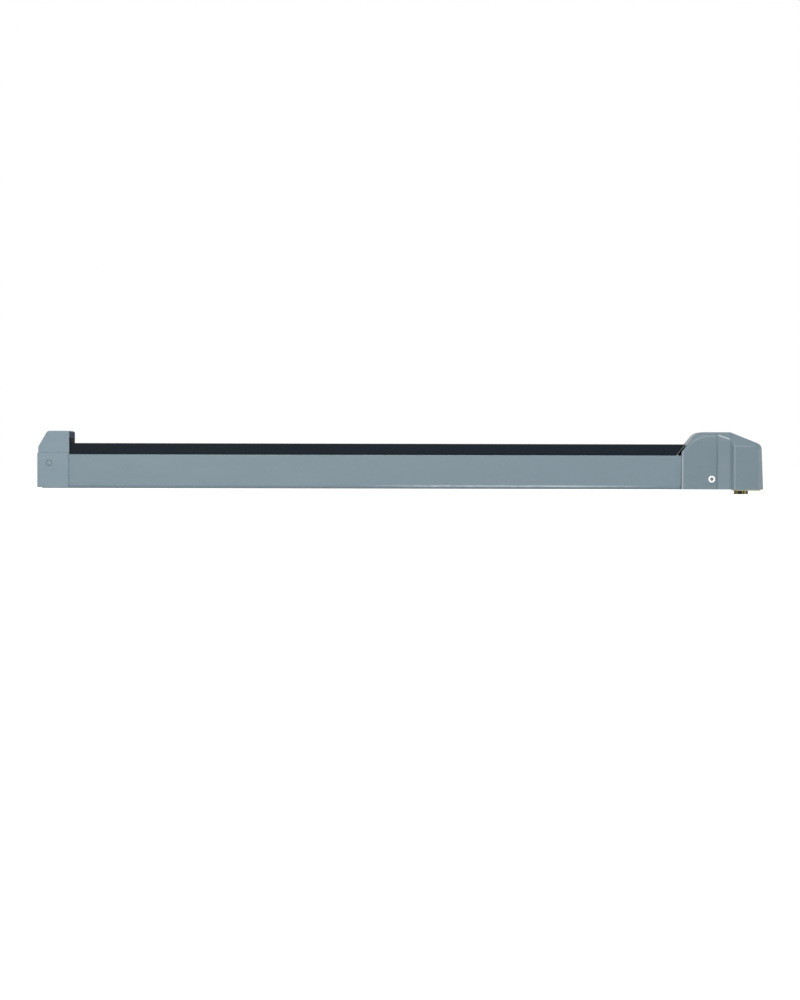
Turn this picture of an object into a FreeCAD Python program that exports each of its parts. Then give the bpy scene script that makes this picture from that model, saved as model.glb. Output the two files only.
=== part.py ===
import FreeCAD, Part
import math
import os
import re
import Sketcher

# Touch bar exit device, in millimetres.
# X runs along the bar towards the lock case, Y across the bar, Z out of the door.
# The origin is on the spindle hub's axis, in the plane of the rail's back.

doc = FreeCAD.newDocument("touch_bar_exit_device")
dims = doc.addObject("Spreadsheet::Sheet", "dims")
nodes = []

# Sizes that can be set, each by itself, in millimetres and degrees
SIZES = {
    # The whole device
    "device_length": 850.9,
    "case_end": 22.9,
    "run_gap": 0.05,
    "snug": 0.02,
    "seat_gap": 0.2,
    # Rail, a channel extrusion
    "rail_half": 23.0,
    "rail_depth": 39.7,
    "rail_wall": 2.0,
    "rail_floor": 2.5,
    "rail_corner": 4.0,
    "rail_edge": 0.7,
    "rail_inset": 5.5,
    "rail_lap": 5.7,
    # End cap
    "cap_length": 36.2,
    "cap_wall": 1.9,
    "cap_bottom": 0.85,
    "cap_shelf_wall": 2.1,
    "cap_top": 67.2,
    "cap_tip": 1.0,
    "cap_tread": 0.9,
    "cap_face_z": 48.6,
    "cap_slope": 60.0,
    "cap_round": 1.7,
    "cap_hood_round": 1.2,
    "cap_brow_round": 5.0,
    "cap_fit": 0.1,
    "cap_screw_back": 14.2,
    "cap_screw_z": 29.7,
    "cap_screw_head": 2.7,
    "cap_screw_sink": 3.8,
    "cap_screw_depth": 1.1,
    "cap_screw_shank": 1.5,
    # Push bar, an inverted channel with two ledges that hold its carriers
    "bar_half": 20.5,
    "bar_top": 52.9,
    "bar_depth": 30.9,
    "bar_wall": 1.8,
    "bar_web": 2.0,
    "bar_edge": 1.3,
    "bar_travel": 9.0,
    "bar_lap": 15.0,
    "bar_reach": 5.0,
    "bar_mitre": 52.0,
    "ledge_half": 13.0,
    "ledge_wall": 1.6,
    "plug_wall": 2.0,
    # Cranks and their stations
    "left_station": 158.0,
    "right_station": 190.0,
    "pivot_z": 25.0,
    "pivot_pin": 3.0,
    "crank_arm": 16.0,
    "crank_drop": 15.0,
    "crank_lift": 30.0,
    "crank_half": 4.0,
    "crank_round": 5.0,
    "crank_boss": 6.5,
    "link_pin": 2.5,
    "pin_head": 1.0,
    "slot_gap": 0.3,
    "side_gap": 0.4,
    "bracket_wall": 2.5,
    "bracket_base": 2.0,
    "bracket_half": 9.0,
    "bracket_foot": 17.0,
    "bracket_tail": 30.0,
    "bracket_nose": 22.0,
    "bracket_screw": 2.0,
    "screw_head": 3.5,
    "screw_head_height": 2.2,
    "lug_wall": 4.0,
    "carrier_plate": 3.2,
    "carrier_half_length": 22.0,
    "set_screw": 2.0,
    # Pull rod, two straps with the slider between them at the case end
    "strap_wall": 3.0,
    "strap_low": 5.2,
    "strap_high": 16.0,
    "strap_tail": 8.0,
    "strap_end": 50.0,
    "saddle_back": 430.0,
    "saddle_half_length": 8.0,
    "saddle_wall": 3.4,
    "saddle_peg": 3.0,
    "slider_shoulder": 34.3,
    "slider_tail": 92.0,
    "slider_rivet": 2.5,
    "slider_arm_low": 11.0,
    "slider_arm": 3.0,
    "slider_rim": 2.5,
    "bridge_length": 8.0,
    "bridge_wall": 2.0,
    "bridge_foot": 6.0,
    "bridge_screw": 1.5,
    # Return springs
    "spring_z": 10.5,
    "spring_radius": 3.0,
    "spring_wire": 1.0,
    "spring_span": 50.0,
    "spring_turns": 19,
    "spring_tab_back": 24.0,
    "spring_tab": 1.5,
    "spring_web": 1.55,
    "spring_pin": 2.0,
    # Lock case: chassis, hub plate, hub and lever
    "chassis_wall": 2.5,
    "chassis_half": 22.0,
    "chassis_cheek_half": 19.0,
    "chassis_cheek_top": 36.0,
    "chassis_cheek_end": 8.0,
    "chassis_tongue": 44.0,
    "chassis_tongue_half": 17.5,
    "chassis_block_back": 10.5,
    "chassis_end": 18.0,
    "tongue_screw_back": 95.0,
    "tongue_screw_half": 13.0,
    "tongue_screw": 2.5,
    "fixing_hole": 2.75,
    "fixing_back": 35.0,
    "fixing_pitch": 30.0,
    "fixing_spread": 26.4,
    "hub_plate_wall": 1.4,
    "hub_plate_half": 28.0,
    "hub_plate_left": 6.0,
    "hub_plate_right": 19.7,
    "hub_plate_inset": 4.0,
    "hub_plate_nose": 11.4,
    "hub_plate_screw": 1.5,
    "hub_radius": 8.9,
    "hub_spigot": 8.5,
    "hub_tip": 5.6,
    "hub_flange": 10.5,
    "hub_flange_wall": 2.0,
    "hub_square": 13.0,
    "hub_stub": 5.0,
    "hub_top": 10.4,
    "hub_socket": 9.1,
    "hub_socket_top": 7.0,
    "lever_wall": 3.0,
    "lever_arm": 13.0,
    "lever_boss": 10.0,
    "clip_wall": 1.0,
    "clip_rim": 2.0,
    # Lock case cover
    "cover_length": 95.3,
    "cover_wall": 2.0,
    "cover_top": 67.2,
    "cover_half": 25.0,
    "crease_back": 31.7,
    "crease_run": 1.8,
    "crease_step": 0.8,
    "flare_end": 16.4,
    "flare_out": 2.7,
    "block_back": 11.4,
    "block_half": 32.0,
    "hip_drop": 16.6,
    "hip_slope": 59.3,
    "ridge_back": 14.8,
    "roof_slope": 22.5,
    "end_lean": 2.2,
    "nose_z": 44.2,
    "nose_slope": 52.0,
    "nose_lean": 1.2,
    "nose_round": 14.0,
    "nose_bevel": 2.0,
    "nose_sweep": 34.0,
    "end_bevel": 5.0,
    "end_sweep": 5.0,
    "cheek_round": 9.0,
    "shoulder_round": 8.0,
    "ridge_round": 4.0,
    "waist_round": 4.0,
    "step_round": 2.5,
    "bevel_round": 3.5,
    "edge_round": 2.0,
    "mouth_top": 51.8,
    "cover_screw_back": 37.1,
    "cover_screw_z": 12.2,
    "cover_screw": 2.0,
    "cover_screw_head": 3.8,
    "cover_screw_length": 9.0,
    "hex_recess": 1.95,
    "hex_depth": 1.7,
    "nut_radius": 3.7,
    "nut_flange": 5.0,
    "nut_flange_wall": 1.4,
    # Black plastic guides at both ends of the bar
    "insert_wall": 2.0,
    "insert_depth": 16.0,
    "insert_rim": 1.6,
    "insert_rim_back": 0.7,
    "insert_break": 0.9,
    "guide_wall": 1.7,
    "guide_depth": 10.5,
    "guide_back": 1.1,
    "guide_slope_back": 1.7,
    "guide_low": 17.0,
    "glide_radius": 5.0,
    "glide_stem": 2.0,
    "glide_drop": 6.2,
    "glide_station": 70.0,
    # End bracket
    "end_bracket_length": 51.0,
    "end_bracket_ear": 13.0,
    "end_bracket_ear_top": 36.0,
    "end_bracket_wall": 2.3,
    "end_fixing_back": 28.0,
    "end_fixing_pitch": 22.0,
    "end_fixing_hole": 3.0,
    "end_rivet_back": 46.0,
    "end_rivet_half": 11.0,
    "end_rivet": 2.0,
}

# Places that follow from them
PLACES = {
    "cap_left": "case_end - device_length",
    "cap_right": "cap_left + cap_length",
    "cap_lip": "cap_right + cap_tip",
    "cap_half": "rail_half + cap_fit + cap_wall",
    "cap_upper_half": "cap_half - cap_wall",
    "cap_shelf": "rail_depth + cap_fit + cap_shelf_wall",
    "rail_left": "cap_left + rail_inset",
    "rail_inner": "rail_half - rail_wall",
    "cover_left": "case_end - cover_length",
    "rail_right": "cover_left + rail_lap",
    "bar_left": "cap_lip - bar_lap",
    "bar_tip": "cover_left + bar_reach",
    "bar_low": "bar_top - bar_depth",
    "bar_inner": "bar_half - bar_wall",
    "bar_under": "bar_top - bar_web",
    "ledge_top": "bar_under - carrier_plate - 2 * seat_gap",
    "ledge_low": "ledge_top - ledge_wall",
    "glide_z": "rail_depth - glide_drop",
    "left_pivot": "cap_left + left_station",
    "right_pivot": "-right_station",
    "crank_turn": "crank_lift - asin(sin(crank_lift) - bar_travel / crank_arm) / 1 deg",
    "rod_travel": "2 * crank_drop * sin(crank_turn / 2)",
    "lever_turn": "2 * asin(rod_travel / (2 * lever_arm)) / 1 deg",
    "drive_dx": "crank_arm * cos(crank_lift)",
    "drive_z": "pivot_z + crank_arm * sin(crank_lift)",
    "rod_dx": "crank_drop * sin(crank_turn / 2)",
    "rod_z": "pivot_z - crank_drop * cos(crank_turn / 2)",
    "lug_inner": "crank_half + side_gap + seat_gap",
    "lug_outer": "lug_inner + lug_wall",
    "strap_inner": "crank_half + side_gap",
    "strap_outer": "strap_inner + strap_wall",
    "bracket_inner": "lug_outer + side_gap",
    "bracket_outer": "bracket_inner + bracket_wall",
    "base_top": "rail_floor + bracket_base",
    "hook_reach": "sqrt(pow(spring_radius - spring_wire / 2 - run_gap; 2) - pow(spring_web; 2))",
    "lever_dx": "lever_arm * sin(lever_turn / 2)",
    "lever_dy": "lever_arm * cos(lever_turn / 2)",
    "slider_half": "strap_inner - run_gap",
    "flange_top": "chassis_wall + run_gap + hub_flange_wall",
    "lever_top": "flange_top + seat_gap + lever_wall",
    "end_top_x": "case_end - end_lean",
    "shoulder_z": "cover_top - (ridge_back + end_top_x) * tan(roof_slope)",
    "hip_z": "cover_top - hip_drop",
    "ridge_half": "block_half - (cover_top - hip_z) / tan(hip_slope)",
    "hip_line": "hip_z + (block_half - cover_half) * tan(hip_slope)",
    "nose_turn_z": "hip_line - nose_sweep",
    "nose_turn_x": "cover_left + (hip_line - nose_z) / tan(nose_slope) + nose_bevel / sin(nose_slope)"
                   " + nose_sweep * tan(nose_slope / 2)",
    "nose_tilt": "atan(nose_lean / nose_z) / 1 deg",
    "cheek_reach": "cheek_round / cos((90 - nose_slope - nose_tilt) / 2)",
    "cheek_turn_x": "cover_left + cheek_reach * cos((90 - nose_slope + nose_tilt) / 2)",
    "cheek_turn_z": "nose_z - cheek_reach * sin((90 - nose_slope + nose_tilt) / 2)",
    "nose_flat": "(nose_turn_x - cheek_turn_x) * cos(nose_slope)"
                 " + (nose_turn_z - cheek_turn_z) * sin(nose_slope)",
    "end_turn_z": "hip_z - end_sweep",
    "end_turn_x": "end_top_x - end_bevel - end_sweep",
    "cover_inner": "cover_half - cover_wall",
    "guide_left": "cover_left + guide_back",
    "guide_wall_x": "rail_right + seat_gap",
}

for row, (alias, number) in enumerate(SIZES.items(), 1):
    dims.set("A%d" % row, alias)
    dims.set("B%d" % row, str(number))
    dims.setAlias("B%d" % row, alias)
for row, (alias, formula) in enumerate(PLACES.items(), 1):
    dims.set("D%d" % row, alias)
    dims.set("E%d" % row, "=" + formula)
    dims.setAlias("E%d" % row, alias)
doc.recompute()


cells = {**SIZES, **PLACES}


def bound(expression):
    """The expression as the sheet's cells give it, each size read by its name."""
    return re.sub(r"[a-z]\w*", lambda word: "dims." + word[0] if word[0] in cells else word[0], expression)


def value(expression):
    """The number that an expression of sizes comes to."""
    return float(dims.evalExpression(bound(expression)))


def mirrored(expression):
    return "-(%s)" % expression


def block(name, x, y, z):
    """A box between pairs of places along X, Y and Z."""
    box = doc.addObject("Part::Box", name)
    for side, axis, (low, high) in zip(("Length", "Width", "Height"), "xyz", (x, y, z)):
        box.setExpression(side, bound("(%s) - (%s)" % (high, low)))
        box.setExpression("Placement.Base." + axis, bound(low))
    return box


def axis_of(places):
    """The axis along which a place is given as a pair."""
    return [axis for axis, place in zip("xyz", places) if isinstance(place, tuple)][0]


TURNS = {
    "x": FreeCAD.Rotation(FreeCAD.Vector(0, 1, 0), 90),
    "y": FreeCAD.Rotation(FreeCAD.Vector(1, 0, 0), -90),
    "z": FreeCAD.Rotation(),
}


def place_along(solid, places):
    """Stands a round solid at its places, along the one that is a pair."""
    axis = axis_of(places)
    solid.Placement = FreeCAD.Placement(FreeCAD.Vector(), TURNS[axis])
    for name, place in zip("xyz", places):
        if name == axis:
            solid.setExpression("Height", bound("(%s) - (%s)" % (place[1], place[0])))
            solid.setExpression("Placement.Base." + name, bound(place[0]))
        else:
            solid.setExpression("Placement.Base." + name, bound(place))
    return solid


def rod(name, x, y, z, radius):
    """A cylinder along the axis whose place is a pair."""
    solid = doc.addObject("Part::Cylinder", name)
    solid.setExpression("Radius", bound(radius))
    return place_along(solid, (x, y, z))


def cone(name, x, y, z, radius_low, radius_high):
    """A cone along the axis whose place is a pair."""
    solid = doc.addObject("Part::Cone", name)
    solid.setExpression("Radius1", bound(radius_low))
    solid.setExpression("Radius2", bound(radius_high))
    return place_along(solid, (x, y, z))


def hexagon(name, x, y, z, radius):
    """A six-sided prism along the axis whose place is a pair."""
    solid = doc.addObject("Part::Prism", name)
    solid.Polygon = 6
    solid.setExpression("Circumradius", bound(radius))
    return place_along(solid, (x, y, z))


def fuse(name, *pieces):
    whole = doc.addObject("Part::MultiFuse", name)
    whole.Shapes = list(pieces)
    whole.Refine = True
    return whole


def cut(name, base, *tools):
    left = doc.addObject("Part::Cut", name)
    left.Base = base
    left.Tool = tools[0] if len(tools) == 1 else fuse(name + "_tools", *tools)
    return left


def group(name, *pieces):
    """Identical pieces that share one node."""
    whole = doc.addObject("Part::Compound", name)
    whole.Links = list(pieces)
    return whole


def node(label, piece):
    """Names a finished sub-part; its label is its file's name."""
    piece.Label = label
    nodes.append(piece)
    return piece


def origin_plane(body, role):
    return [feature for feature in body.Origin.OriginFeatures if feature.Role == role][0]


def sketch_on(body, role, loops, offset="0"):
    """A sketch of closed polygons, each corner held by two sizes from the origin."""
    sketch = body.newObject("Sketcher::SketchObject", body.Name + "_sketch")
    sketch.AttachmentSupport = (origin_plane(body, role), [""])
    sketch.MapMode = "FlatFace"
    sketch.setExpression("AttachmentOffset.Base.z", bound(offset))
    first = 0
    for loop in loops:
        corners = [FreeCAD.Vector(value(across), value(up), 0) for across, up in loop]
        count = len(loop)
        for n in range(count):
            sketch.addGeometry(Part.LineSegment(corners[n], corners[(n + 1) % count]))
        for n in range(count):
            end = first + (n + 1) % count
            sketch.addConstraint(Sketcher.Constraint("Coincident", first + n, 2, end, 1))
        for n, (across, up) in enumerate(loop):
            for kind, place, number in (("DistanceX", across, corners[n].x),
                                        ("DistanceY", up, corners[n].y)):
                held = sketch.addConstraint(Sketcher.Constraint(kind, -1, 1, first + n, 1, number))
                sketch.setExpression("Constraints[%d]" % held, bound(place))
        first += count
    return sketch


def padded(name, role, loop, low, high):
    """A body padded from one polygon, between two places along the plane's normal."""
    body = doc.addObject("PartDesign::Body", name)
    pad = body.newObject("PartDesign::Pad", name + "_pad")
    pad.Profile = sketch_on(body, role, [loop], low)
    pad.setExpression("Length", bound("(%s) - (%s)" % (high, low)))
    return body


def padded_across(name, loop, half):
    """A body padded from a side view, evenly to both sides of the middle plane."""
    body = doc.addObject("PartDesign::Body", name)
    pad = body.newObject("PartDesign::Pad", name + "_pad")
    pad.Profile = sketch_on(body, "XZ_Plane", [loop])
    pad.SideType = "Symmetric"
    pad.setExpression("Length", bound("2 * (%s)" % half))
    return body


def pocket(body, role, loops):
    """Cuts polygons right through the body, both ways from their plane."""
    profile = sketch_on(body, role, loops)
    hollow = body.newObject("PartDesign::Pocket", body.Name + "_pocket")
    hollow.Profile = profile
    hollow.Type = "ThroughAll"
    hollow.SideType = "Symmetric"
    return hollow


def tilted_sketch(body, pivot, tilt, loops):
    """A sketch across the body with its origin at a point of the side view, tilted about Y there."""
    profile = sketch_on(body, "YZ_Plane", loops, offset=pivot[0])
    profile.setExpression("AttachmentOffset.Base.y", bound(pivot[1]))
    profile.setExpression("AttachmentOffset.Rotation.Axis.x", "1")
    profile.setExpression("AttachmentOffset.Rotation.Axis.z", "0")
    profile.setExpression("AttachmentOffset.Rotation.Angle", bound(tilt))
    return profile


def cut_along(body, pivot, tilt, loops, length=None, back=False):
    """Cuts a section straight on from its tilted plane, for a length or right through."""
    cutter = body.newObject("PartDesign::Pocket", body.Name + "_pocket")
    cutter.Profile = tilted_sketch(body, pivot, tilt, loops)
    cutter.Type = "Length" if length else "ThroughAll"
    if length:
        cutter.setExpression("Length", bound(length))
    cutter.Reversed = back
    return cutter


def cut_round(body, pivot, tilt, loops, angle, back=False):
    """Cuts a section round an axis along Y, on from its tilted plane by an angle."""
    profile = tilted_sketch(body, pivot, tilt, loops)
    cutter = body.newObject("PartDesign::Groove", body.Name + "_groove")
    cutter.Profile = profile
    cutter.ReferenceAxis = (profile, ["H_Axis"])
    cutter.setExpression("Angle", bound(angle))
    cutter.Reversed = back
    return cutter


def rounded(body, radius, wanted):
    """Fillets the edges of the body's last feature that the test picks."""
    doc.recompute()
    base = body.Tip
    picked = ["Edge%d" % (n + 1) for n, edge in enumerate(base.Shape.Edges) if wanted(edge)]
    if not picked:
        raise ValueError("no edge to round on " + body.Name)
    fillet = body.newObject("PartDesign::Fillet", body.Name + "_fillet")
    fillet.Base = (base, picked)
    fillet.setExpression("Radius", bound(radius))
    return fillet


def runs_along(edge, axis):
    """Whether an edge is straight and parallel to an axis."""
    if edge.Curve.TypeId != "Part::GeomLine":
        return False
    way = edge.Curve.Direction
    return abs(abs(getattr(way, axis)) - 1) < 1e-6


def at(edge, **places):
    """Whether the middle of an edge lies at the given places, whichever side of the middle plane."""
    middle = edge.CenterOfMass
    return all(abs(abs(getattr(middle, axis)) - abs(value(place))) < 0.01 for axis, place in places.items())


def bend(shape, edge):
    """The angle in degrees at which the faces at an edge meet."""
    faces = shape.ancestorsOfType(edge, Part.Face)
    middle = edge.valueAt((edge.FirstParameter + edge.LastParameter) / 2)
    normals = [face.normalAt(*face.Surface.parameter(middle)) for face in faces]
    return math.degrees(normals[0].getAngle(normals[1])) if len(normals) == 2 else 0


def both_sides(name, build):
    """The same piece near and far: build(suffix, side) is given a sign for Y."""
    return group(name, build(name + "_near", "-"), build(name + "_far", ""))


def y_pair(side, inner, outer):
    """A pair of places along Y, low then high, on the near or the far side."""
    if side == "-":
        return (mirrored(outer), mirrored(inner))
    return (inner, outer)


# Rail

def make_rail():
    """The channel: floor against the door, two walls, rounded lower corners."""
    profile = [
        ("-rail_half", "0"),
        ("rail_half", "0"),
        ("rail_half", "rail_depth"),
        ("rail_inner", "rail_depth"),
        ("rail_inner", "rail_floor"),
        ("-rail_inner", "rail_floor"),
        ("-rail_inner", "rail_depth"),
        ("-rail_half", "rail_depth"),
    ]
    body = padded("rail_channel", "YZ_Plane", profile, "rail_left", "rail_right")
    rounded(body, "rail_corner", lambda edge: runs_along(edge, "x") and at(edge, y="rail_half", z="0"))
    rounded(body, "rail_edge", lambda edge: runs_along(edge, "x") and at(edge, z="rail_depth"))
    tools = end_fixings("rail_end_fixing", "-1", "rail_floor + 1")
    tools += end_rivet_rods("rail_end_rivet", "-1", "rail_floor + 1", "end_rivet + snug")
    for station in ("left_pivot", "right_pivot"):
        for n, (x, y) in enumerate(bracket_screw_places(station)):
            tools.append(rod("rail_screw_hole", x, y, ("-1", "rail_floor + 1"), "bracket_screw + snug"))
    for side in ("-", ""):
        y = side + "tongue_screw_half"
        tools.append(rod("rail_tongue_hole", "-tongue_screw_back", y, ("-1", "rail_floor + 1"),
                         "tongue_screw + snug"))
    tools.append(rod("rail_peg_hole", "-saddle_back", "0", ("-1", "rail_floor + 1"), "saddle_peg + snug"))
    for side in ("-", ""):
        y = y_pair(side, "rail_inner - 1", "rail_half + 1")
        tools.append(rod("rail_cap_hole", "cap_left + cap_screw_back", y, "cap_screw_z",
                         "cap_screw_shank + seat_gap"))
    node("rail", cut("rail_cut", body, *tools))


def bracket_screw_places(station):
    """Four places around a crank bracket, two behind and two in front of its pivot."""
    across = "(bracket_outer + bracket_foot) / 2"
    rows = (station + " - crank_drop", station + " + crank_arm + 1")
    return [(x, sign + across) for x in rows for sign in ("-", "")]


def end_fixings(name, low, high):
    """The two door fixings at the hinge end."""
    places = ("cap_left + end_fixing_back", "cap_left + end_fixing_back + end_fixing_pitch")
    return [rod(name, x, "0", (low, high), "end_fixing_hole") for x in places]


def end_rivet_rods(name, low, high, radius):
    x = "cap_left + end_rivet_back"
    return [rod(name, x, side + "end_rivet_half", (low, high), radius) for side in ("-", "")]


# End cap with its screws, insert and bracket

def cap_form(name, inset, shelf):
    """The cap's outer form, or with an inset its hollow: a low sleeve and a narrower hood."""
    sleeve_side = [
        ("cap_left + %s" % inset, "cap_bottom - %s" % inset),
        ("cap_right + %s" % inset, "cap_bottom - %s" % inset),
        ("cap_right + %s" % inset, shelf),
        ("cap_left + %s" % inset, shelf),
    ]
    sleeve = padded_across(name + "_sleeve", sleeve_side, "cap_half - %s" % inset)
    top = "(cap_top - %s)" % inset
    face = "(cap_left + cap_tread + %s)" % inset
    break_z = "(cap_face_z - %s * (1 - cos(cap_slope)) / sin(cap_slope))" % inset
    hood_side = [
        (face, "cap_shelf - cap_wall - 2"),
        ("cap_lip + %s" % inset, "cap_shelf - cap_wall - 2"),
        ("cap_lip + %s" % inset, top),
        ("%s + (%s - %s) / tan(cap_slope)" % (face, top, break_z), top),
        (face, break_z),
    ]
    hood = padded_across(name + "_hood", hood_side, "cap_upper_half - %s" % inset)
    return sleeve, hood


def make_end_cap():
    sleeve, hood = cap_form("cap_outer", "0", "cap_shelf")
    rounded(sleeve, "cap_round", lambda edge: at(edge, z="cap_shelf") and not at(edge, x="cap_right")
            or runs_along(edge, "z") and at(edge, x="cap_left"))
    rounded(hood, "cap_brow_round",
            lambda edge: runs_along(edge, "y") and edge.CenterOfMass.z > value("cap_shelf")
            and not at(edge, x="cap_lip"))
    rounded(hood, "cap_hood_round", lambda edge: edge.CenterOfMass.z > value("cap_shelf") - 2
            and not at(edge, x="cap_lip") and bend(hood.Tip.Shape, edge) > 7
            and abs(edge.CenterOfMass.y) > value("cap_upper_half") / 2)
    outer = fuse("cap_outer_form", sleeve, hood)
    inner = fuse("cap_inner_form", *cap_form("cap_inner", "cap_wall", "rail_depth + cap_fit"))
    hollow = cut("cap_hollow", outer, inner)
    tools = []
    for side in ("-", ""):
        x = "cap_left + cap_screw_back"
        through = y_pair(side, "cap_half - cap_wall - 1", "cap_half + 1")
        sunk = y_pair(side, "cap_half - cap_screw_depth", "cap_half + 1")
        tools.append(rod("cap_hole", x, through, "cap_screw_z", "cap_screw_shank + seat_gap"))
        tools.append(rod("cap_counterbore", x, sunk, "cap_screw_z", "cap_screw_sink"))
    node("end_cap", cut("cap_drilled", hollow, *tools))


def make_cap_screws():
    def screw(name, side):
        x = "cap_left + cap_screw_back"
        head = rod(name + "_head", x, y_pair(side, "cap_half - cap_screw_depth", "cap_half"), "cap_screw_z",
                   "cap_screw_head")
        shank_y = y_pair(side, "rail_inner - end_bracket_wall - 1", "cap_half - cap_screw_depth")
        shank = rod(name + "_shank", x, shank_y, "cap_screw_z", "cap_screw_shank")
        return fuse(name, head, shank)
    node("end_cap_screws", both_sides("cap_screw_pair", screw))


def make_cap_insert():
    """Black guide in the cap's mouth, with a rim over the hood's end; the bar runs below it."""
    low = "bar_top + seat_gap"
    top = "cap_top - cap_wall - seat_gap"
    right = "cap_lip + insert_rim"
    rim_top = "cap_top - insert_rim_back"
    plug_side = [
        ("cap_lip - insert_depth", low),
        ("cap_lip + run_gap", low),
        ("cap_lip + run_gap", top),
        ("cap_lip - insert_depth", top),
    ]
    rim_side = [
        ("cap_lip + run_gap", low),
        (right, low),
        (right, rim_top + " - insert_break"),
        (right + " - insert_break", rim_top),
        ("cap_lip + run_gap", rim_top),
    ]
    plug = padded_across("insert_plug", plug_side, "cap_upper_half - cap_wall - seat_gap")
    rim = padded_across("insert_rim", rim_side, "cap_upper_half - insert_rim_back")
    hollow = block("insert_hollow", ("cap_lip - insert_depth - 1", "cap_lip - insert_wall"),
                   ("-(cap_upper_half - cap_wall - insert_wall)", "cap_upper_half - cap_wall - insert_wall"),
                   (low + " + insert_wall", top + " - insert_wall"))
    node("end_cap_insert", cut("insert_cut", fuse("insert_whole", plug, rim), hollow))


def make_end_bracket():
    """Folded steel: a base on the rail's floor and two ears that take the cap screws."""
    left = "rail_left + 1"
    half = "rail_inner - seat_gap"
    base = block("end_bracket_base", (left, "cap_left + end_bracket_length"),
                 ("-bracket_foot", "bracket_foot"), ("rail_floor", "base_top"))
    web = block("end_bracket_web", (left, "rail_left + end_bracket_ear"), ("-(%s)" % half, half),
                ("rail_floor", "base_top"))
    ears = []
    for side in ("-", ""):
        ears.append(block("end_bracket_ear", (left, "rail_left + end_bracket_ear"),
                          y_pair(side, half + " - end_bracket_wall", half),
                          ("rail_floor", "end_bracket_ear_top")))
    tools = end_fixings("end_bracket_fixing", "rail_floor - 1", "base_top + 1")
    tools += end_rivet_rods("end_bracket_rivet_hole", "rail_floor - 1", "base_top + 1", "end_rivet + snug")
    for side in ("-", ""):
        tools.append(rod("end_bracket_thread", "cap_left + cap_screw_back",
                         y_pair(side, "rail_inner - end_bracket_wall - 2", "rail_inner + 1"), "cap_screw_z",
                         "cap_screw_shank + snug"))
    node("end_bracket", cut("end_bracket_cut", fuse("end_bracket_fold", base, web, *ears), *tools))


def make_end_rivets():
    x = "cap_left + end_rivet_back"
    rivets = []
    for side in ("-", ""):
        y = side + "end_rivet_half"
        shank = rod("end_rivet_shank", x, y, ("0", "base_top"), "end_rivet")
        head = rod("end_rivet_head", x, y, ("base_top", "base_top + pin_head"), "end_rivet + 1.2")
        rivets.append(fuse("end_rivet_whole", shank, head))
    node("end_bracket_rivets", group("end_rivet_pair", *rivets))


# Push bar with its plugs, carriers and glides

def mitre_x(z, shift="0"):
    """Where the bar's mitred end lies at a height."""
    return "bar_tip - (bar_top - (%s)) / tan(bar_mitre) - %s" % (z, shift)


def make_push_bar():
    def half(sign):
        return [
            (sign + "bar_half", "bar_top"),
            (sign + "bar_half", "bar_low"),
            (sign + "bar_inner", "bar_low"),
            (sign + "bar_inner", "ledge_low"),
            (sign + "ledge_half", "ledge_low"),
            (sign + "ledge_half", "ledge_top"),
            (sign + "bar_inner", "ledge_top"),
            (sign + "bar_inner", "bar_under"),
        ]
    profile = half("-") + list(reversed(half("")))
    body = padded("bar_channel", "YZ_Plane", profile, "bar_left", "bar_tip")
    pocket(body, "XZ_Plane", [[
        (mitre_x("bar_top"), "bar_top"),
        ("bar_tip + 5", "bar_top"),
        ("bar_tip + 5", "bar_low - 1"),
        (mitre_x("bar_low - 1"), "bar_low - 1"),
    ]])
    rounded(body, "bar_edge", lambda edge: runs_along(edge, "x") and at(edge, y="bar_half", z="bar_top"))
    holes = [rod("glide_hole", x, ("-(bar_half + 1)", "bar_half + 1"), "glide_z", "glide_stem + snug")
             for x in glide_places()]
    node("push_bar", cut("bar_cut", body, *holes))


def glide_places():
    return ("left_pivot + glide_station", "right_pivot - glide_station")


def plug_half_wide():
    return "bar_inner - seat_gap"


def make_bar_end_plug():
    """Closes the mitred end, set just inside the bar's walls and notched for its ledges."""
    def slab(name, low, high, half):
        side_view = [
            (mitre_x(low, "plug_wall"), low),
            (mitre_x(low), low),
            (mitre_x(high), high),
            (mitre_x(high, "plug_wall"), high),
        ]
        return padded_across(name, side_view, half)
    lower = slab("end_plug_lower", "strap_high + bar_travel + 1", "ledge_low - seat_gap", plug_half_wide())
    upper = slab("end_plug_upper", "ledge_low - seat_gap - 1", "bar_under - seat_gap",
                 "ledge_half - seat_gap")
    node("bar_end_plug", fuse("end_plug_whole", lower, upper))


def make_bar_tail_plug():
    """Closes the bar's end inside the cap."""
    x = ("bar_left", "bar_left + 10")
    half = plug_half_wide()
    lower = block("tail_plug_lower", x, ("-(%s)" % half, half), ("bar_low + 1", "ledge_low - seat_gap"))
    upper = block("tail_plug_upper", x, ("-(ledge_half - seat_gap)", "ledge_half - seat_gap"),
                  ("ledge_low - seat_gap - 1", "bar_under - seat_gap"))
    hollow = block("tail_plug_hollow", ("bar_left + plug_wall", "bar_left + 11"),
                   ("-(ledge_half - 2 - plug_wall)", "ledge_half - 2 - plug_wall"),
                   ("bar_low + 1 + plug_wall", "ledge_low - seat_gap - plug_wall"))
    node("bar_tail_plug", cut("tail_plug_cut", fuse("tail_plug_whole", lower, upper), hollow))


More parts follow.
